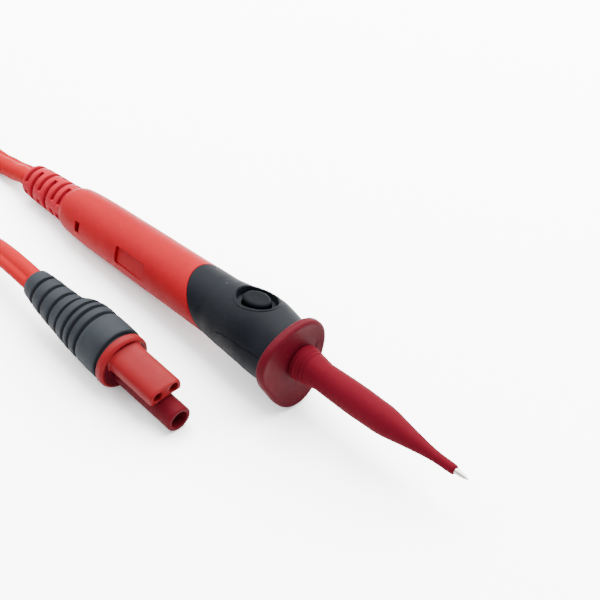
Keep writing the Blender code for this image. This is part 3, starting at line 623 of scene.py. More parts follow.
def face_out(data: bpy.types.Mesh) -> None:
    """Turn the faces of a closed mesh outwards, judged by its signed volume.

    Args:
        data: The mesh.
    """
    volume = 0.0
    for polygon in data.polygons:
        corners = [data.vertices[i].co for i in polygon.vertices]
        for b, c in zip(corners[1:], corners[2:]):
            volume += corners[0].dot(b.cross(c))
    if volume < 0.0:
        data.flip_normals()


def carved(piece: bpy.types.Object, cutters: Sequence[bpy.types.Object]) -> None:
    """Cut closed forms out of a piece for good.

    Args:
        piece: The piece that is cut.
        cutters: The forms, which are removed afterwards.
    """
    for cutter in cutters:
        step = piece.modifiers.new(cutter.name, "BOOLEAN")
        step.object = cutter
        step.operation = "DIFFERENCE"
        step.solver = "EXACT"
    bpy.context.view_layer.update()
    cut = bpy.data.meshes.new_from_object(piece.evaluated_get(bpy.context.evaluated_depsgraph_get()))
    piece.modifiers.clear()
    piece.data = cut
    cut.shade_smooth()
    cut.set_sharp_from_angle(angle=math.radians(CARVED_EDGE))
    for cutter in cutters:
        bpy.data.objects.remove(cutter, do_unlink=True)


def dress(piece: bpy.types.Object, finish: Finish, body: Body,
          nodes: Sequence[str] = ()) -> bpy.types.Object:
    """Give a piece its finish, its body and the solids that it stands for.

    Args:
        piece: The piece, in place.
        finish: Its finish.
        body: The rigid body that it moves with.
        nodes: Solids that it replaces.

    Returns:
        The piece.
    """
    piece.data.materials.clear()
    piece.data.materials.append(Finishes.of(finish))
    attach(piece, body.value)
    if nodes:
        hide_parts(*nodes)
    LOG.info("%s dressed in %s", piece.name, finish.name)
    return piece


def oval_tube(name: str, centre: Sequence[Point], radius: float, sides: int = 12) -> Piece:
    """Run a round bead along a closed line of points.

    Args:
        name: Name of the piece.
        centre: The line.
        radius: Radius of the bead.
        sides: Facets round the bead.

    Returns:
        The piece.
    """
    rings = []
    count = len(centre)
    for i, point in enumerate(centre):
        ahead = Vector(centre[(i + 1) % count]) - Vector(centre[i - 1])
        ahead.normalize()
        side = ahead.cross(UP).normalized()
        up = side.cross(ahead)
        rings.append([tuple(Vector(point) + side * (radius * math.cos(a)) + up * (radius * math.sin(a)))
                      for a in angles(sides)])
    return Piece.skin(name, rings, looped=True)


@dataclass(frozen=True)
class Recess:
    """A shallow recess on the side of the barrel.

    Attributes:
        middle: Place of its middle along the handle.
        length: Length along the handle.
        width: Width round the handle.
        depths: Depth of its flat floor at its rear and at its front.
        corner: How far from its corners their rounding starts.
        turn: Angle from the button in degrees.
    """

    middle: float
    length: float
    width: float
    depths: Pair
    corner: float
    turn: float


@dataclass
class Handle:
    """The red barrel and the black grip with its button well.

    Places are measured along the handle from the guard's face. A row of a form holds the place, the
    radius and, on the grip, how far the ring's centre is raised.
    """

    form: tuple[Pair, ...] = ((-0.1111, 0.00705), (-0.1099, 0.0075), (-0.1087, 0.00785), (-0.1060, 0.00818),
                              (-0.1030, 0.00840), (-0.0980, 0.00862), (-0.0928, 0.00875), (-0.0823, 0.00892),
                              (-0.0721, 0.00912), (-0.0622, 0.00925), (-0.0525, 0.00942), (-0.0430, 0.00960),
                              (-0.0370, 0.00968), (-0.0345, 0.00978), (-0.0325, 0.01008), (-0.0290, 0.01055))
    grip: tuple[Point, ...] = ((-0.0290, 0.01055, 0.0002), (-0.0270, 0.01075, 0.00035),
                               (-0.0225, 0.01125, 0.00053), (-0.0180, 0.01155, 0.00045),
                               (-0.0145, 0.01150, -0.00010), (-0.0110, 0.01120, -0.00075),
                               (-0.0070, 0.01080, -0.00130), (-0.0034, 0.01045, -0.00160))
    front: float = -0.0033
    neck: float = 0.0055
    neck_depth: float = 0.0006
    rear_round: float = 0.0002
    barrel_sides: int = 144
    grip_sides: int = 128
    pocket: Recess = Recess(-0.0706, 0.0146, 0.0059, (0.00105, 0.00045), 0.0007, -84.0)
    latch: Recess = Recess(-0.0987, 0.0023, 0.0038, (0.0019, 0.0019), 0.0002, -85.0)
    cutter_rise: float = 0.004

    # The slanted seam: its middle, its slant, its gap, and (place, fall) steps of both edges
    line: float = -0.0397
    tongue: float = 0.0067
    seam: float = 0.0002
    barrel_edge: tuple[Pair, ...] = ((-0.00012, 0.00003), (-0.00003, 0.00010), (0.0, 0.00028), (0.0, 0.0008))
    grip_edge: tuple[Pair, ...] = ((0.0, 0.0007), (0.0, 0.0003), (0.00006, 0.00004), (0.0002, -0.00006))

    # The rings that bend towards the seam: where the barrel's start, their number on the barrel and
    # on the grip, the room up to each edge, and how proud the grip stands there
    bend_from: float = -0.0620
    bend_rings: int = 14
    edge_room: float = 0.0003
    grip_room: float = 0.0004
    proud: float = 0.00006

    # Where the grip sits: the seat's length, radius and wall, and how the grip ends on it
    overlap: float = 0.004
    seat: float = 0.0086
    wall: float = 0.002
    fit: float = 0.0001
    front_round: float = 0.0002
    front_lip: float = 0.0008

    # The moulding groove: (place, angle from the button) points, and its depth and half width
    parting: tuple[Pair, ...] = ((-0.0263, -92.0), (-0.0235, -87.5), (-0.0176, -85.0), (-0.0124, -81.0),
                                 (-0.0075, -77.5))
    groove: Pair = (0.00022, 0.00015)
    groove_sides: int = 10

    # The button well: its half axes, (height, narrower by) rows of its wall, and its bead and floor
    button_x: float = -0.0210
    well_long: float = 0.0074
    well_wide: float = 0.0061
    well_wall: tuple[Pair, ...] = ((0.0030, 0.0008), (0.0086, 0.0008), (0.0108, 0.0003), (0.0118, 0.0),
                                   (0.0150, 0.0))
    bead: float = 0.00026
    bead_out: float = 0.0002
    bead_sink: float = 0.00002
    well_floor: tuple[Point, ...] = ((0.0070, 0.0062, 0.0084), (0.0070, 0.0062, 0.0088),
                                     (0.0049, 0.0044, 0.0088), (0.0049, 0.0044, 0.0084))

    # The pad and its stem: (half length, half width, height) rows
    pad: tuple[Point, ...] = ((0.0043, 0.0038, 0.0046), (0.0043, 0.0038, 0.0095), (0.00475, 0.0040, 0.0098),
                              (0.00475, 0.0040, 0.0101), (0.00466, 0.00392, 0.0105),
                              (0.00445, 0.00371, 0.01082), (0.0042, 0.00346, 0.01097),
                              (0.0038, 0.0031, 0.01103), (0.0032, 0.0025, 0.01101),
                              (0.0021, 0.0016, 0.01094), (0.0008, 0.0006, 0.01091))

    def edge(self, angle: float) -> float:
        """Give the rear edge of the grip at an angle from the button."""
        return self.line - self.tongue * math.cos(angle)

    def height(self, x: float, y: float) -> float:
        """Give the height of the grip's surface over a point of its middle plane."""
        radius = along(self.grip, x)
        return along(self.grip, x, 2) + math.sqrt(max(0.0, radius * radius - y * y))

    def oval(self, long: float, wide: float, height: float, sides: int = 72) -> list[Point]:
        """Give a level oval ring round the button's axis."""
        return [(self.button_x + long * math.cos(a), wide * math.sin(a), height) for a in angles(sides)]

    def barrel(self) -> None:
        """Build the one-piece barrel with its bare label pocket and latch recess."""
        fine = through(self.form)
        rear = self.form[0][0]
        step = self.neck_depth
        stations = [(rear + step, self.neck), (rear, self.neck + step / 2)]
        stations += filleted([(rear, self.neck + step), self.form[0], fine[1]], self.rear_round)
        stations += [p for p in fine[2:] if p[0] < self.bend_from]
        bend = len(stations)
        lip = bend + self.bend_rings
        inside = lip + len(self.barrel_edge)
        inner = (self.seat, self.seat - self.wall)

        def surface(s: int, angle: float) -> Point:
            """Follow the barrel, bend towards the slanted seam and step down to the seat.

            Args:
                s: Number of the ring, from the rear.
                angle: Angle from the button.

            Returns:
                The point.
            """
            end = self.edge(angle) - self.seam
            if s < bend:
                x, r = stations[s]
            elif s < lip:
                share = (s - bend) / (self.bend_rings - 1)
                x = self.bend_from + (end - self.bend_from) * share - self.edge_room * (share == 1.0)
                r = along(fine, x)
            elif s < inside:
                ahead, fall = self.barrel_edge[s - lip]
                x = end + ahead
                r = along(fine, x) - fall
            else:
                x, r = self.edge(angle) + self.overlap, inner[s - inside]
            return (x, r * math.sin(angle), r * math.cos(angle))

        barrel = Piece.warped("handle_shell", inside + len(inner), self.barrel_sides, surface)
        shell = barrel.build(HANDLE_FRAME)
        carved(shell, [self.side_cutter("pocket_cutter", self.pocket),
                       self.side_cutter("latch_cutter", self.latch)])
        dress(shell, CORAL, Body.PROBE, ["handle_barrel"])

    def side_cutter(self, name: str, recess: Recess) -> bpy.types.Object:
        """Build the cutter of a recess on the side of the barrel.

        Args:
            name: Name of the cutter.
            recess: The recess.

        Returns:
            The cutter.
        """
        radius = along(self.form, recess.middle)
        long, wide = recess.length / 2, recess.width / 2
        corners = ((-long, -wide), (long, -wide), (long, wide), (-long, wide))
        outline = []
        for before, corner, after in zip(corners[-1:] + corners[:-1], corners, corners[1:] + corners[:1]):
            outline += filleted([before, corner, after], recess.corner)[1:-1]
        rear, front = recess.depths
        floor = [(recess.middle + u, v, radius - rear + (rear - front) * (u / recess.length + 0.5))
                 for u, v in outline]
        top = [(recess.middle + u, v, radius + self.cutter_rise) for u, v in outline]
        turned = HANDLE_FRAME @ placed((0.0, 0.0, 0.0), (-recess.turn, 0.0, 0.0))
        return Piece.skin(name, [floor, top]).build(turned)

    def parting_cutter(self) -> bpy.types.Object:
        """Build the thin cutter of the moulding groove on the side of the grip.

        Returns:
            The cutter.
        """
        deep, half = self.groove
        rings = []
        for x, angle in through(self.parting, 6):
            turn = math.radians(angle)
            out = Vector((0.0, math.sin(turn), math.cos(turn)))
            side = Vector((0.0, math.cos(turn), -math.sin(turn)))
            radius = along(self.grip, x)
            centre = Vector((0.0, radius * math.sin(turn), radius * math.cos(turn) + along(self.grip, x, 2)))
            ring = [centre + out * (deep * math.cos(a)) + side * (half * math.sin(a))
                    for a in angles(self.groove_sides)]
            rings.append([(x, p.y, p.z) for p in ring])
        return Piece.skin("parting_cutter", rings).build(HANDLE_FRAME)

    def sleeve(self) -> None:
        """Build the grip with its well and its moulding groove."""
        fine = through(self.grip)
        skin = through(self.form)
        start, _, start_lift = fine[0]
        last, last_radius, last_lift = fine[-1]
        stations = fine[:-1]
        stations += [(last, last_radius - self.front_round, last_lift),
                     (self.front, last_radius - 2 * self.front_round, last_lift),
                     (self.front, self.seat - self.front_lip, 0.0)]
        lip = len(self.grip_edge)
        free = lip + self.bend_rings

        def surface(s: int, angle: float) -> Point:
            """Follow the grip from its slanted edge to the guard, then back along its inside.

            Args:
                s: Number of the ring, from the rear.
                angle: Angle from the button.

            Returns:
                The point.
            """
            lift = 0.0
            edge = self.edge(angle)
            if s < lip:
                ahead, fall = self.grip_edge[s]
                x = edge + ahead
                r = along(skin, x) - fall
            elif s < free:
                room = self.grip_room
                x = edge + room + (start - edge - room) * ((s - lip) / self.bend_rings)
                share = between(x, edge, start)
                r = along(skin, x) + self.proud * (1.0 - share)
                lift = start_lift * share
            elif s < free + len(stations):
                x, r, lift = stations[s - free]
            else:
                x, r = edge, self.seat - self.fit
            return (x, r * math.sin(angle), r * math.cos(angle) + lift)

        grip = Piece.warped("grip_skin", free + len(stations) + 1, self.grip_sides, surface, looped=True)
        sleeve = grip.build(HANDLE_FRAME)
        rings = [self.oval(self.well_long - narrower, self.well_wide - narrower, z)
                 for z, narrower in self.well_wall]
        carved(sleeve, [Piece.skin("well_cutter", rings).build(HANDLE_FRAME), self.parting_cutter()])
        dress(sleeve, GRIP_BLACK, Body.PROBE, ["grip_sleeve"])

    def well(self) -> None:
        """Build the bead round the well and the well's floor."""
        out = self.bead_out
        line = [(x, y, self.height(x, y) - self.bead_sink)
                for x, y, _ in self.oval(self.well_long + out, self.well_wide + out, 0.0, sides=96)]
        bead = oval_tube("well_bead", line, self.bead)
        floor = Piece.skin("well_floor", [self.oval(*row) for row in self.well_floor], looped=True)
        for piece in (bead, floor):
            dress(piece.build(HANDLE_FRAME), GRIP_BLACK, Body.PROBE)

    def button(self) -> None:
        """Build the oval pad on its stem."""
        pad = Piece.skin("button_pad", [self.oval(*row, sides=80) for row in self.pad])
        dress(pad.build(HANDLE_FRAME, SOFT_EDGE), PAD_BLACK, Body.BUTTON, ["button_cap"])

    def build(self) -> None:
        """Build the barrel, the grip and the button."""
        self.barrel()
        self.sleeve()
        self.well()
        self.button()


@dataclass
class FingerGuard:
    """The shaped guard: three soft lobes round an offset centre, with a hub behind it.

    A row of an edge holds the place and how far the rim is moved inwards, and a row of the dished
    face the place and the radius.
    """

    radius: float = 0.01346
    lobe: float = 0.094
    lobe_at: float = 49.0
    oval: float = 0.095
    oval_at: float = 101.0
    shift: Pair = (-0.00258, -0.00055)
    thickness: float = 0.0028
    sides: int = 144
    rear_edge: tuple[Pair, ...] = ((0.0, 0.0009), (0.00004, 0.0005), (0.00016, 0.00022), (0.00038, 0.00005),
                                   (0.0007, 0.0))
    front_edge: tuple[Pair, ...] = ((-0.0010, 0.0), (-0.00065, 0.00006), (-0.00038, 0.00020),
                                    (-0.00018, 0.00042), (-0.00005, 0.0007), (0.0, 0.0010),
                                    (-0.00004, 0.0013), (-0.00016, 0.0020), (-0.00035, 0.0036))
    dish: tuple[Pair, ...] = ((-0.0005, 0.0066), (-0.0005, 0.0060), (-0.0004, 0.0050), (-0.0004, 0.0035))
    hub: float = 0.0063
    hub_length: float = 0.0065
    hub_foot: float = 0.0080
    bore: float = 0.0023
    bore_depth: float = 0.0002

    def rim(self, x: float, inset: float) -> list[Point]:
        """Give one ring along the rim.

        Args:
            x: Place of the ring.
            inset: How far it is moved inwards.

        Returns:
            The ring, from +Y on.
        """
        ring = []
        for angle in angles(self.sides):
            reach = self.radius * (1.0 + self.lobe * math.cos(3.0 * (angle - math.radians(self.lobe_at)))
                                   + self.oval * math.cos(2.0 * (angle - math.radians(self.oval_at)))) - inset
            ring.append((x, self.shift[0] + reach * math.cos(angle), self.shift[1] + reach * math.sin(angle)))
        return ring

    def circle(self, x: float, radius: float) -> list[Point]:
        """Give one round ring, from +Y on."""
        return [(x, radius * math.cos(a), radius * math.sin(a)) for a in angles(self.sides)]

    def build(self) -> None:
        """Build the plate with its rounded rim and the hub behind it."""
        rear = -self.thickness
        end = rear - self.hub_length
        bottom = rear - self.bore_depth
        rings = [self.circle(end, self.hub), self.circle(rear, self.hub), self.circle(rear, self.hub_foot)]
        rings += [self.rim(rear + x, inset) for x, inset in self.rear_edge]
        rings += [self.rim(x, inset) for x, inset in self.front_edge]
        rings += [self.circle(x, radius) for x, radius in self.dish]
        rings += [self.circle(bottom, self.dish[-1][1]), self.circle(bottom, self.bore),
                  self.circle(end, self.bore)]
        guard = Piece.skin("guard_plate", rings, looped=True).build(PROBE_FRAME, SOFT_EDGE)
        dress(guard, GUARD_RED_AND_SHADE, Body.PROBE, ["finger_guard"])


@dataclass
class CableBoot:
    """The tapered strain relief with interrupted slots that turn a quarter from ring to ring.

    A row of an end holds the place from that end and the fall from the taper, and a row of a slot's
    side the distance from its middle and the share of its depth.
    """

    rear: float = -0.1347
    front: float = -0.1112
    form: tuple[Pair, ...] = ((-0.1340, 0.0056), (-0.1300, 0.00595), (-0.1250, 0.0062), (-0.1200, 0.00635),
                              (-0.1160, 0.0065), (-0.1140, 0.00665), (-0.1112, 0.0069))
    rear_end: tuple[Pair, ...] = ((0.0004, 0.0014), (0.0, 0.0011), (0.0, 0.0007), (0.0001, 0.0003),
                                  (0.0004, 0.0001), (0.0010, 0.0))
    front_end: tuple[Pair, ...] = ((-0.0003, 0.0), (0.0, 0.0002), (0.0, 0.0019), (0.003, 0.0019),
                                   (0.003, 0.0034))
    sides: int = 180
    slots: int = 6
    first: float = -0.1322
    pitch: float = 0.00392
    depth: float = 0.0019
    slot_side: tuple[Pair, ...] = ((0.00098, 0.0), (0.00090, 0.03), (0.00084, 0.13), (0.00078, 0.5),
                                   (0.00074, 1.0))
    slot_turn: float = 3.0
    web: float = 30.0
    web_ease: Pair = (2.0, 2.5)

    def build(self) -> None:
        """Build the boot."""
        plain = -1
        slot = [(-step, share) for step, share in self.slot_side] + [(0.0, 1.0)]
        slot += reversed(self.slot_side)
        stations = [(self.rear + step, fall, plain) for step, fall in self.rear_end]
        for ring in range(self.slots):
            middle = self.first + ring * self.pitch
            stations += [(middle + step, share, ring) for step, share in slot]
        stations += [(self.front + step, fall, plain) for step, fall in self.front_end]

        def surface(s: int, angle: float) -> Point:
            """Follow the taper, with the slots cut in.

            Args:
                s: Number of the station, from the rear.
                angle: Angle from the button.

            Returns:
                The point.
            """
            x, fall, ring = stations[s]
            r = along(self.form, x)
            if ring == plain:
                r -= fall
            else:
                turn = math.radians(self.slot_turn + (90.0 if ring % 2 == 0 else 0.0))
                across = abs(math.degrees(math.asin(math.sin(angle - turn))))
                if ring == self.slots - 1:
                    across = min(across, 90.0 - across)
                before, after = self.web_ease
                r -= self.depth * fall * between(across, self.web / 2 - before, self.web / 2 + after)
            return (x, r * math.sin(angle), r * math.cos(angle))

        boot = Piece.warped("boot_skin", len(stations), self.sides, surface)
        dress(boot.build(HANDLE_FRAME, MOULDED_EDGE), BOOT_RED, Body.PROBE, ["cable_boot"])


@dataclass
class Prod:
    """The pull-off prod with its ringed base and metal tip, as (place, radius) rows."""

    base: tuple[Pair, ...] = ((0.0001, 0.0030), (0.0001, 0.0056), (0.0018, 0.00568), (0.0020, 0.00534),
                              (0.0029, 0.00528), (0.0031, 0.00500), (0.0034, 0.00500), (0.0036, 0.00522),
                              (0.0043, 0.00514), (0.0045, 0.00486), (0.0048, 0.00486), (0.0050, 0.00504),
                              (0.0062, 0.00482), (0.0078, 0.00455), (0.0086, 0.00443))
    base_round: float = 0.00018
    body: tuple[Pair, ...] = ((0.0092, 0.00438), (0.0153, 0.00454), (0.0232, 0.00466), (0.0290, 0.00452),
                              (0.0328, 0.00443), (0.0350, 0.00420), (0.0365, 0.00399), (0.0421, 0.00304),
                              (0.0458, 0.00248), (0.0494, 0.00196), (0.0530, 0.00162), (0.0560, 0.00153))
    nose: tuple[Pair, ...] = ((0.0588, 0.00149), (0.0592, 0.00145), (0.0595, 0.00135), (0.0597, 0.00118),
                              (0.0598, 0.0009))
    tip: tuple[Pair, ...] = ((0.0560, 0.0008), (0.0606, 0.00085), (0.0618, 0.00076), (0.0628, 0.00058),
                             (0.0636, 0.00036), (0.0641, 0.00020), (0.0644, 0.00006))

    def build(self) -> None:
        """Build the soft body and the tip."""
        profile = filleted(self.base, self.base_round) + through(self.body) + list(self.nose)
        body = Piece.turned("prod_skin", profile).build(PROBE_FRAME, MOULDED_EDGE)
        dress(body, PROD_RED, Body.PROD, ["prod_body"])
        tip = Piece.turned("tip_point", self.tip, sides=40).build(PROBE_FRAME, ROUND_EDGE)
        dress(tip, STEEL, Body.PROD, ["prod_tip"])


@dataclass
class Plug:
    """The safety plug: ribbed boot, smooth body, flange, shroud and sense block.

    Places are measured along the plug from the flange. A row of the black form holds the place, the
    radius and how far the ring's centre is off the axis.
    """

    form: tuple[Point, ...] = ((-0.0441, 0.00485, 0.0), (-0.0390, 0.0057, -0.0002),
                               (-0.0350, 0.0061, -0.0004), (-0.0300, 0.0066, -0.0005),
                               (-0.0269, 0.0069, -0.0004), (-0.0246, 0.0076, 0.0),
                               (-0.0220, 0.00825, 0.0004), (-0.0199, 0.0086, 0.0005),
                               (-0.0176, 0.00885, 0.0006), (-0.0145, 0.0089, 0.0005),
                               (-0.0100, 0.00905, 0.0004), (-0.0044, 0.00905, 0.0003))
    rear_end: tuple[Pair, ...] = ((-0.0445, 0.0036), (-0.0445, 0.0042), (-0.0444, 0.0046))
    front_end: tuple[Sequence[float], ...] = ((-0.0045, 0.0089, 0.0003), (-0.0044, 0.0086, 0.0002),
                                              (-0.0044, 0.0077), (-0.0030, 0.0077), (-0.0030, 0.0060))
    black_from: float = -0.0441
    black_to: float = -0.0047
    split: float = -0.0190
    split_radius: float = 0.0060
    grooves: tuple[float, ...] = (-0.0392, -0.0343, -0.0293, -0.0249, -0.0206, -0.0176, -0.0139)
    groove_width: float = 0.0012
    groove_depth: float = 0.0016
    flange: tuple[Pair, ...] = ((-0.0031, 0.0030), (-0.0031, 0.0088), (-0.0028, 0.00905), (-0.0010, 0.00905),
                                (-0.0002, 0.0083), (-0.0004, 0.0078), (-0.0006, 0.0030))
    flange_round: float = 0.0003
    # A thin dark disc over the flange's front face: painted shade for the shadow on that face
    flange_shade_disc: tuple[Pair, ...] = ((-0.0012, 0.0030), (-0.0012, 0.0077), (-0.0003, 0.0077),
                                     (-0.0003, 0.0030))
    shroud: tuple[Pair, ...] = ((0.0020, 0.0012), (0.0020, 0.0028), (0.0243, 0.0028), (0.0247, 0.0030),
                                (0.0247, 0.0039), (0.0243, 0.0042), (-0.0010, 0.0042), (-0.0010, 0.0012))
    shroud_round: float = 0.00025
    shroud_drop: float = 0.0031

    # The sense block: its half width and heights, how square its round top is, (place, inset) rows,
    # and its two holes
    block_half: float = 0.00575
    block_low: float = 0.0016
    block_top: float = 0.0067
    block_shoulder: float = 0.0037
    block_side: float = 0.0033
    block_square: float = 0.8
    block_corner: float = 0.0012
    block_ends: tuple[Pair, ...] = ((-0.0012, -0.0006), (-0.0004, -0.0006), (-0.0001, -0.00025),
                                    (0.0004, -0.00005), (0.0010, 0.0), (0.0180, 0.0), (0.01845, 0.0001),
                                    (0.0187, 0.0003), (0.0188, 0.0006))
    hole: tuple[Pair, ...] = ((0.0061, 0.0016), (0.0185, 0.0016), (0.0191, 0.0020))
    hole_height: float = 0.00385
    hole_side: float = 0.0029

    def black(self, low: float, high: float) -> list[Point]:
        """Give the profile of the black body with its grooves.

        Args:
            low: Where it starts.
            high: Where it ends.

        Returns:
            The profile.
        """
        half = self.groove_width / 2
        lip, ease = 0.0001, 0.0003
        side = ((half + ease, 0.0), (half + lip, 0.06), (half, 0.25), (half * 0.75, 0.8), (half * 0.4, 1.0))
        fine = through(self.form, 3)
        spots = [(low, 0.0), (high, 0.0)]
        spots += [(p[0], 0.0) for p in fine
                  if low < p[0] < high and all(abs(p[0] - g) > half + ease for g in self.grooves)]
        for middle in self.grooves:
            both = [(middle + way * step, fall) for way in (-1.0, 1.0) for step, fall in side]
            spots += [(x, fall) for x, fall in both if low < x < high]
        return [(x, along(fine, x) - fall * self.groove_depth, along(fine, x, 2))
                for x, fall in sorted(spots)]

    def rear(self) -> list[bpy.types.Object]:
        """Build the ribbed boot and the smooth body in front of it.

        Returns:
            Both pieces.
        """
        end = (self.split, self.split_radius)
        ribs = [*self.rear_end, *self.black(self.black_from, self.split), end]
        boot = Piece.turned("plug_ribs", ribs).build(PLUG_FRAME, SOFT_EDGE)
        dress(boot, PLUG_BLACK, Body.PROBE, ["plug_boot"])
        smooth = [end, *self.black(self.split, self.black_to), *self.front_end]
        body = Piece.turned("plug_barrel", smooth).build(PLUG_FRAME, SOFT_EDGE)
        dress(body, PLUG_BLACK, Body.PROBE, ["plug_cap"])
        return [boot, body]

    def block_outline(self, inset: float) -> list[Pair]:
        """Give the outline of the sense block.

        Args:
            inset: How far it is moved inwards.

        Returns:
            The outline as (y, z).
        """
        steps = 32
        wide = self.block_half - inset
        shoulder = self.block_shoulder
        outline: list[Pair] = []
        for k in range(steps + 1):
            angle = math.pi * k / steps
            rise = (self.block_top - inset - shoulder) * math.sin(angle) ** self.block_square
            outline.append((wide * math.cos(angle), shoulder + rise))
        low, side = self.block_low + inset, self.block_side
        return outline + filleted([(-wide, side), (-wide, low), (wide, low), (wide, side)],
                                  self.block_corner, 5)

    def front(self) -> list[bpy.types.Object]:
        """Build the flange with a dark disc of painted shade over its face, the shroud and the sense block.

        Returns:
            The four pieces.
        """
        flange = filleted(self.flange, self.flange_round, 3)
        rim = Piece.turned("plug_flange_ring", flange, looped=True).build(PLUG_FRAME, PLUG_EDGE)
        tube = filleted(self.shroud, self.shroud_round, 3)
        barrel = Piece.turned("plug_shroud", tube, sides=80, looped=True, drop=self.shroud_drop)
        shroud = barrel.build(PLUG_FRAME, PLUG_EDGE)
        rings = [[(x, y, z) for y, z in self.block_outline(inset)] for x, inset in self.block_ends]
        block = Piece.skin("sense_block", rings).build(PLUG_FRAME, PLUG_EDGE)
        hole = Piece.turned("sense_cutter", self.hole, sides=40, drop=-self.hole_height)
        carved(block, [hole.build(PLUG_FRAME @ placed((0.0, y, 0.0), (0.0, 0.0, 0.0)))
                       for y in (self.hole_side, -self.hole_side)])
        # The dark disc over the flange's face is painted shade, not a part of its own
        disc = Piece.turned("plug_flange_painted_shade", self.flange_shade_disc, sides=80, looped=True)
        face = disc.build(PLUG_FRAME)
        dress(face, GUARD_RED_AND_SHADE, Body.PROBE)
        dress(rim, PLUG_RED, Body.PROBE, ["plug_body"])
        dress(shroud, SHROUD_RED_AND_SHADE, Body.PROBE)
        dress(block, PLUG_RED, Body.PROBE)
        return [rim, face, shroud, block]

    def build(self) -> list[bpy.types.Object]:
        """Build the plug and give the pieces that are on the lead."""
        return self.rear() + self.front()


@dataclass
class Lead:
    """The twin lead: two free runs and the spare length, wound and tied outside the view."""

    # The twin section: its width, and the place and radius of both cores
    width: float = 0.0080
    cores: tuple[Pair, ...] = ((-0.0009, 0.0031), (0.0021, 0.0019))

    # The hank: its middle, half its straight sides, and (turns, end radius, height) rows
    hank: Pair = (-0.2020, -0.0190)
    straight: float = 0.0280
    turns: tuple[Point, ...] = ((0.50, 0.0320, 0.0032), (1.28, 0.0320, 0.0032), (1.47, 0.0240, 0.0032),
                                (2.03, 0.0240, 0.0032), (2.30, 0.0240, 0.0096), (3.04, 0.0240, 0.0096),
                                (3.28, 0.0320, 0.0096), (4.25, 0.0320, 0.0096))
    steps_per_turn: int = 16

    # The free runs: two places on each boot's axis, and listed points
    probe_axis: Pair = (-0.1340, -0.1400)
    plug_axis: Pair = (-0.0530, -0.0440)
    rest: float = 0.0036
    from_probe: tuple[Point, ...] = ((-0.1092, 0.0011, 0.0046), (-0.1140, 0.0009, 0.0040),
                                     (-0.1182, 0.0004, rest), (-0.1260, 0.0004, rest),
                                     (-0.1360, 0.0026, rest), (-0.1480, 0.0080, rest),
                                     (-0.1610, 0.0127, 0.0034))
    to_plug: tuple[Point, ...] = ((-0.1610, -0.0510, 0.0093), (-0.1490, -0.0499, 0.0083),
                                  (-0.1350, -0.0464, 0.0062), (-0.1210, -0.0412, 0.0042),
                                  (-0.1070, -0.0356, 0.0038), (-0.0950, -0.0324, 0.0049),
                                  (-0.0840, -0.0314, 0.0074), (-0.0735, -0.0317, 0.0104),
                                  (-0.0640, -0.0325, 0.0126))
    inside_plug: tuple[str, ...] = ("plug_pin", "plug_lead_tail", "sense_contact_left", "sense_contact_right")

    def on_track(self, phase: float, radius: float) -> Pair:
        """Give a point of the hank's track.

        Args:
            phase: Turns from the start of the near straight side, counter-clockwise.
            radius: Radius of the round ends.

        Returns:
            The point.
        """
        quarter, share = divmod((phase % 1.0) * 4.0, 1.0)
        x, y = self.hank
        if quarter == 0:
            return (x - self.straight + 2 * self.straight * share, y - radius)
        if quarter == 2:
            return (x + self.straight - 2 * self.straight * share, y + radius)
        side = 1.0 if quarter == 1 else -1.0
        turn = math.pi * (share - 0.5)
        return (x + side * (self.straight + radius * math.cos(turn)), y + side * radius * math.sin(turn))

    def hank_points(self) -> list[Point]:
        """Give the points of the wound length.

        Returns:
            The points, from the probe's side on.
        """
        steps = self.steps_per_turn
        points = []
        for k in range(round(self.turns[0][0] * steps), round(self.turns[-1][0] * steps) + 1):
            phase = k / steps
            low, high = next(rows for rows in zip(self.turns, self.turns[1:]) if phase <= rows[1][0])
            share = between(phase, low[0], high[0])
            radius, height = (low[i] + (high[i] - low[i]) * share for i in (1, 2))
            points.append((*self.on_track(phase, radius), height))
        return points

    def route(self) -> list[Point]:
        """Give the route from the handle's boot to the plug's boot.

        Returns:
            The points that the lead goes through.
        """
        out = [tuple(HANDLE_FRAME @ Vector((x, 0.0, 0.0))) for x in self.probe_axis]
        home = [tuple(PLUG_FRAME @ Vector((x, 0.0, 0.0))) for x in self.plug_axis]
        return [*out, *self.from_probe, *self.hank_points(), *self.to_plug, *home]

    def section(self) -> list[Pair]:
        """Give the outline of the twin jacket.

        Returns:
            The outline, across and up, round the middle of its width.
        """
        outline = []
        for angle in angles(40):
            c, s = math.cos(angle), math.sin(angle)
            reach = 0.0
            for centre, radius in self.cores:
                inside = radius * radius - (centre * s) ** 2
                if inside > 0.0:
                    reach = max(reach, centre * c + math.sqrt(inside))
            outline.append((reach * c, reach * s))
        return outline

    def build(self, on_lead: Sequence[bpy.types.Object]) -> None:
        """Build the lead.

        Args:
            on_lead: The plug's pieces; not used.
        """
        path = [Vector(p) for p in through(self.route())]
        section = self.section()
        rings = []
        length = 0.0
        for i, point in enumerate(path):
            ahead = (path[min(i + 1, len(path) - 1)] - path[max(i - 1, 0)]).normalized()
            side = ahead.cross(UP).normalized()
            up = side.cross(ahead)
            rings.append([tuple(point + side * u + up * v) for u, v in section])
            if i:
                length += (point - path[i - 1]).length
        LOG.info("the lead is %.3f m long", length)
        lead = Piece.skin("twin_lead", rings).build(sharp=ROUND_EDGE)
        dress(lead, JACKET_RED, Body.PROBE, ["lead_probe_run", "lead_plug_run", "lead_hank"])
        list(on_lead) + [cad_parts[n] for n in self.inside_plug]


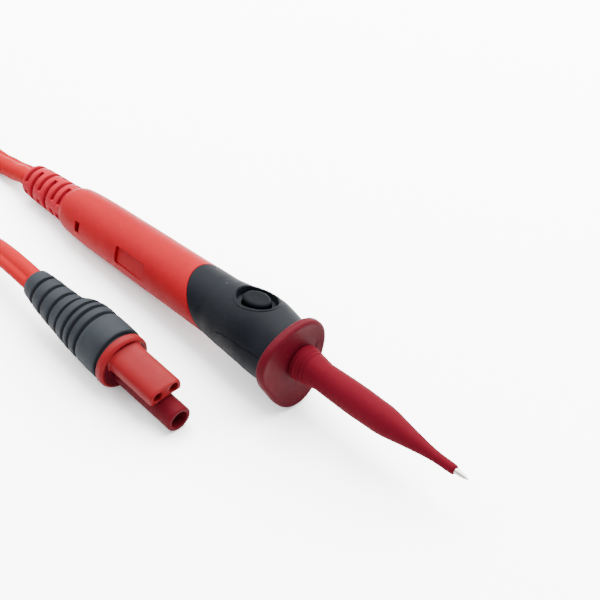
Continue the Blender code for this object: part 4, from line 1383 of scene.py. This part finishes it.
@dataclass(frozen=True)
class InnerPieces:
    """Carried-over solids and the finishes that they wear."""

    finishes: tuple[tuple[str, Finish], ...] = (
        ("chassis_tray", TRAY_GREY), ("switch_board", BOARD_GREEN), ("push_switch", SWITCH_BLACK),
        ("board_screw_1", STEEL), ("board_screw_2", STEEL), ("lead_clamp", CLAMP_WHITE),
        ("clamp_screw_1", STEEL), ("clamp_screw_2", STEEL), ("button_plunger", CLAMP_WHITE),
        ("return_spring", STEEL), ("contact_rod", NICKEL), ("rod_nut", BRASS), ("rod_seal", TIE_BLACK),
        ("prod_socket", BRASS), ("lead_tail", JACKET_RED), ("main_conductor", WIRE_RED),
        ("signal_wire_left", WIRE_WHITE), ("signal_wire_right", WIRE_BLUE), ("plug_lead_tail", JACKET_RED),
        ("plug_pin", NICKEL), ("sense_contact_left", NICKEL), ("sense_contact_right", NICKEL),
        ("lead_tie", TIE_BLACK))

    def dress(self) -> None:
        """Put the finishes on the solids."""
        for name, finish in self.finishes:
            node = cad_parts[name]
            node.data.materials.clear()
            node.data.materials.append(Finishes.of(finish))
            LOG.info("%s dressed in %s", name, finish.name)


@dataclass(frozen=True)
class Softbox:
    """A square soft light: its side in metres and its power in watts."""

    name: str
    at: Point
    size: float
    power: float
    colour: Colour


@dataclass
class Studio:
    """Floor, soft lights and the camera, whose angles are in degrees and whose lens in millimetres."""

    camera_at: Point = (0.24721, -0.19557, 0.3081)
    azimuth: float = 137.016
    down: float = 42.793
    lens: float = 85.0
    sensor: float = 36.0
    near: float = 0.01
    floor_half: float = 3.0
    floor_drop: float = 0.0001
    air: float = 1.9
    aim: Point = (-0.02, -0.01, 0.0)
    lamps: tuple[Softbox, ...] = (
        Softbox("key_softbox", (-0.05, 0.50, 0.75), 1.3, 112.0, (1.0, 0.985, 0.97)),
        Softbox("left_softbox", (-0.60, -0.05, 0.60), 0.9, 22.0, (0.98, 0.99, 1.0)))

    def camera(self) -> None:
        """Set up the camera at the photograph's angle."""
        data = bpy.data.cameras.new("photo_camera")
        data.lens = self.lens
        data.sensor_width = self.sensor
        data.clip_start = self.near
        camera = bpy.data.objects.new("photo_camera", data)
        az, el = math.radians(self.azimuth), math.radians(self.down)
        ahead = Vector((math.cos(az) * math.cos(el), math.sin(az) * math.cos(el), -math.sin(el)))
        camera.matrix_world = facing(self.camera_at, ahead)
        bpy.context.collection.objects.link(camera)
        bpy.context.scene.camera = camera

    def lamp(self, box: Softbox) -> None:
        """Add a soft light that faces the object.

        Args:
            box: The light.
        """
        data = bpy.data.lights.new(box.name, "AREA")
        data.size = box.size
        data.energy = box.power
        data.color = box.colour
        light = bpy.data.objects.new(box.name, data)
        light.matrix_world = facing(box.at, Vector(self.aim) - Vector(box.at))
        bpy.context.collection.objects.link(light)

    def floor(self) -> None:
        """Lay the paper just under the object."""
        half = self.floor_half
        corners = [(-half, -half, 0.0), (half, -half, 0.0), (half, half, 0.0), (-half, half, 0.0)]
        floor = Piece("studio_floor", corners, [(0, 1, 2, 3)]).build()
        floor.location.z = -self.floor_drop
        floor.data.materials.append(Finishes.of(PAPER))

    def build(self) -> None:
        """Build the studio."""
        self.floor()
        world = bpy.data.worlds.new("studio_air")
        world.use_nodes = True
        background = world.node_tree.nodes["Background"]
        background.inputs["Color"].default_value = (1.0, 1.0, 1.0, 1.0)
        background.inputs["Strength"].default_value = self.air
        bpy.context.scene.world = world
        for box in self.lamps:
            self.lamp(box)
        self.camera()


def main() -> None:
    """Build the pieces in order and set up the studio."""
    logging.basicConfig(level=logging.INFO, format="%(message)s")
    Handle().build()
    FingerGuard().build()
    CableBoot().build()
    Prod().build()
    Lead().build(Plug().build())
    InnerPieces().dress()
    Studio().build()


if __name__ == "__main__":
    main()
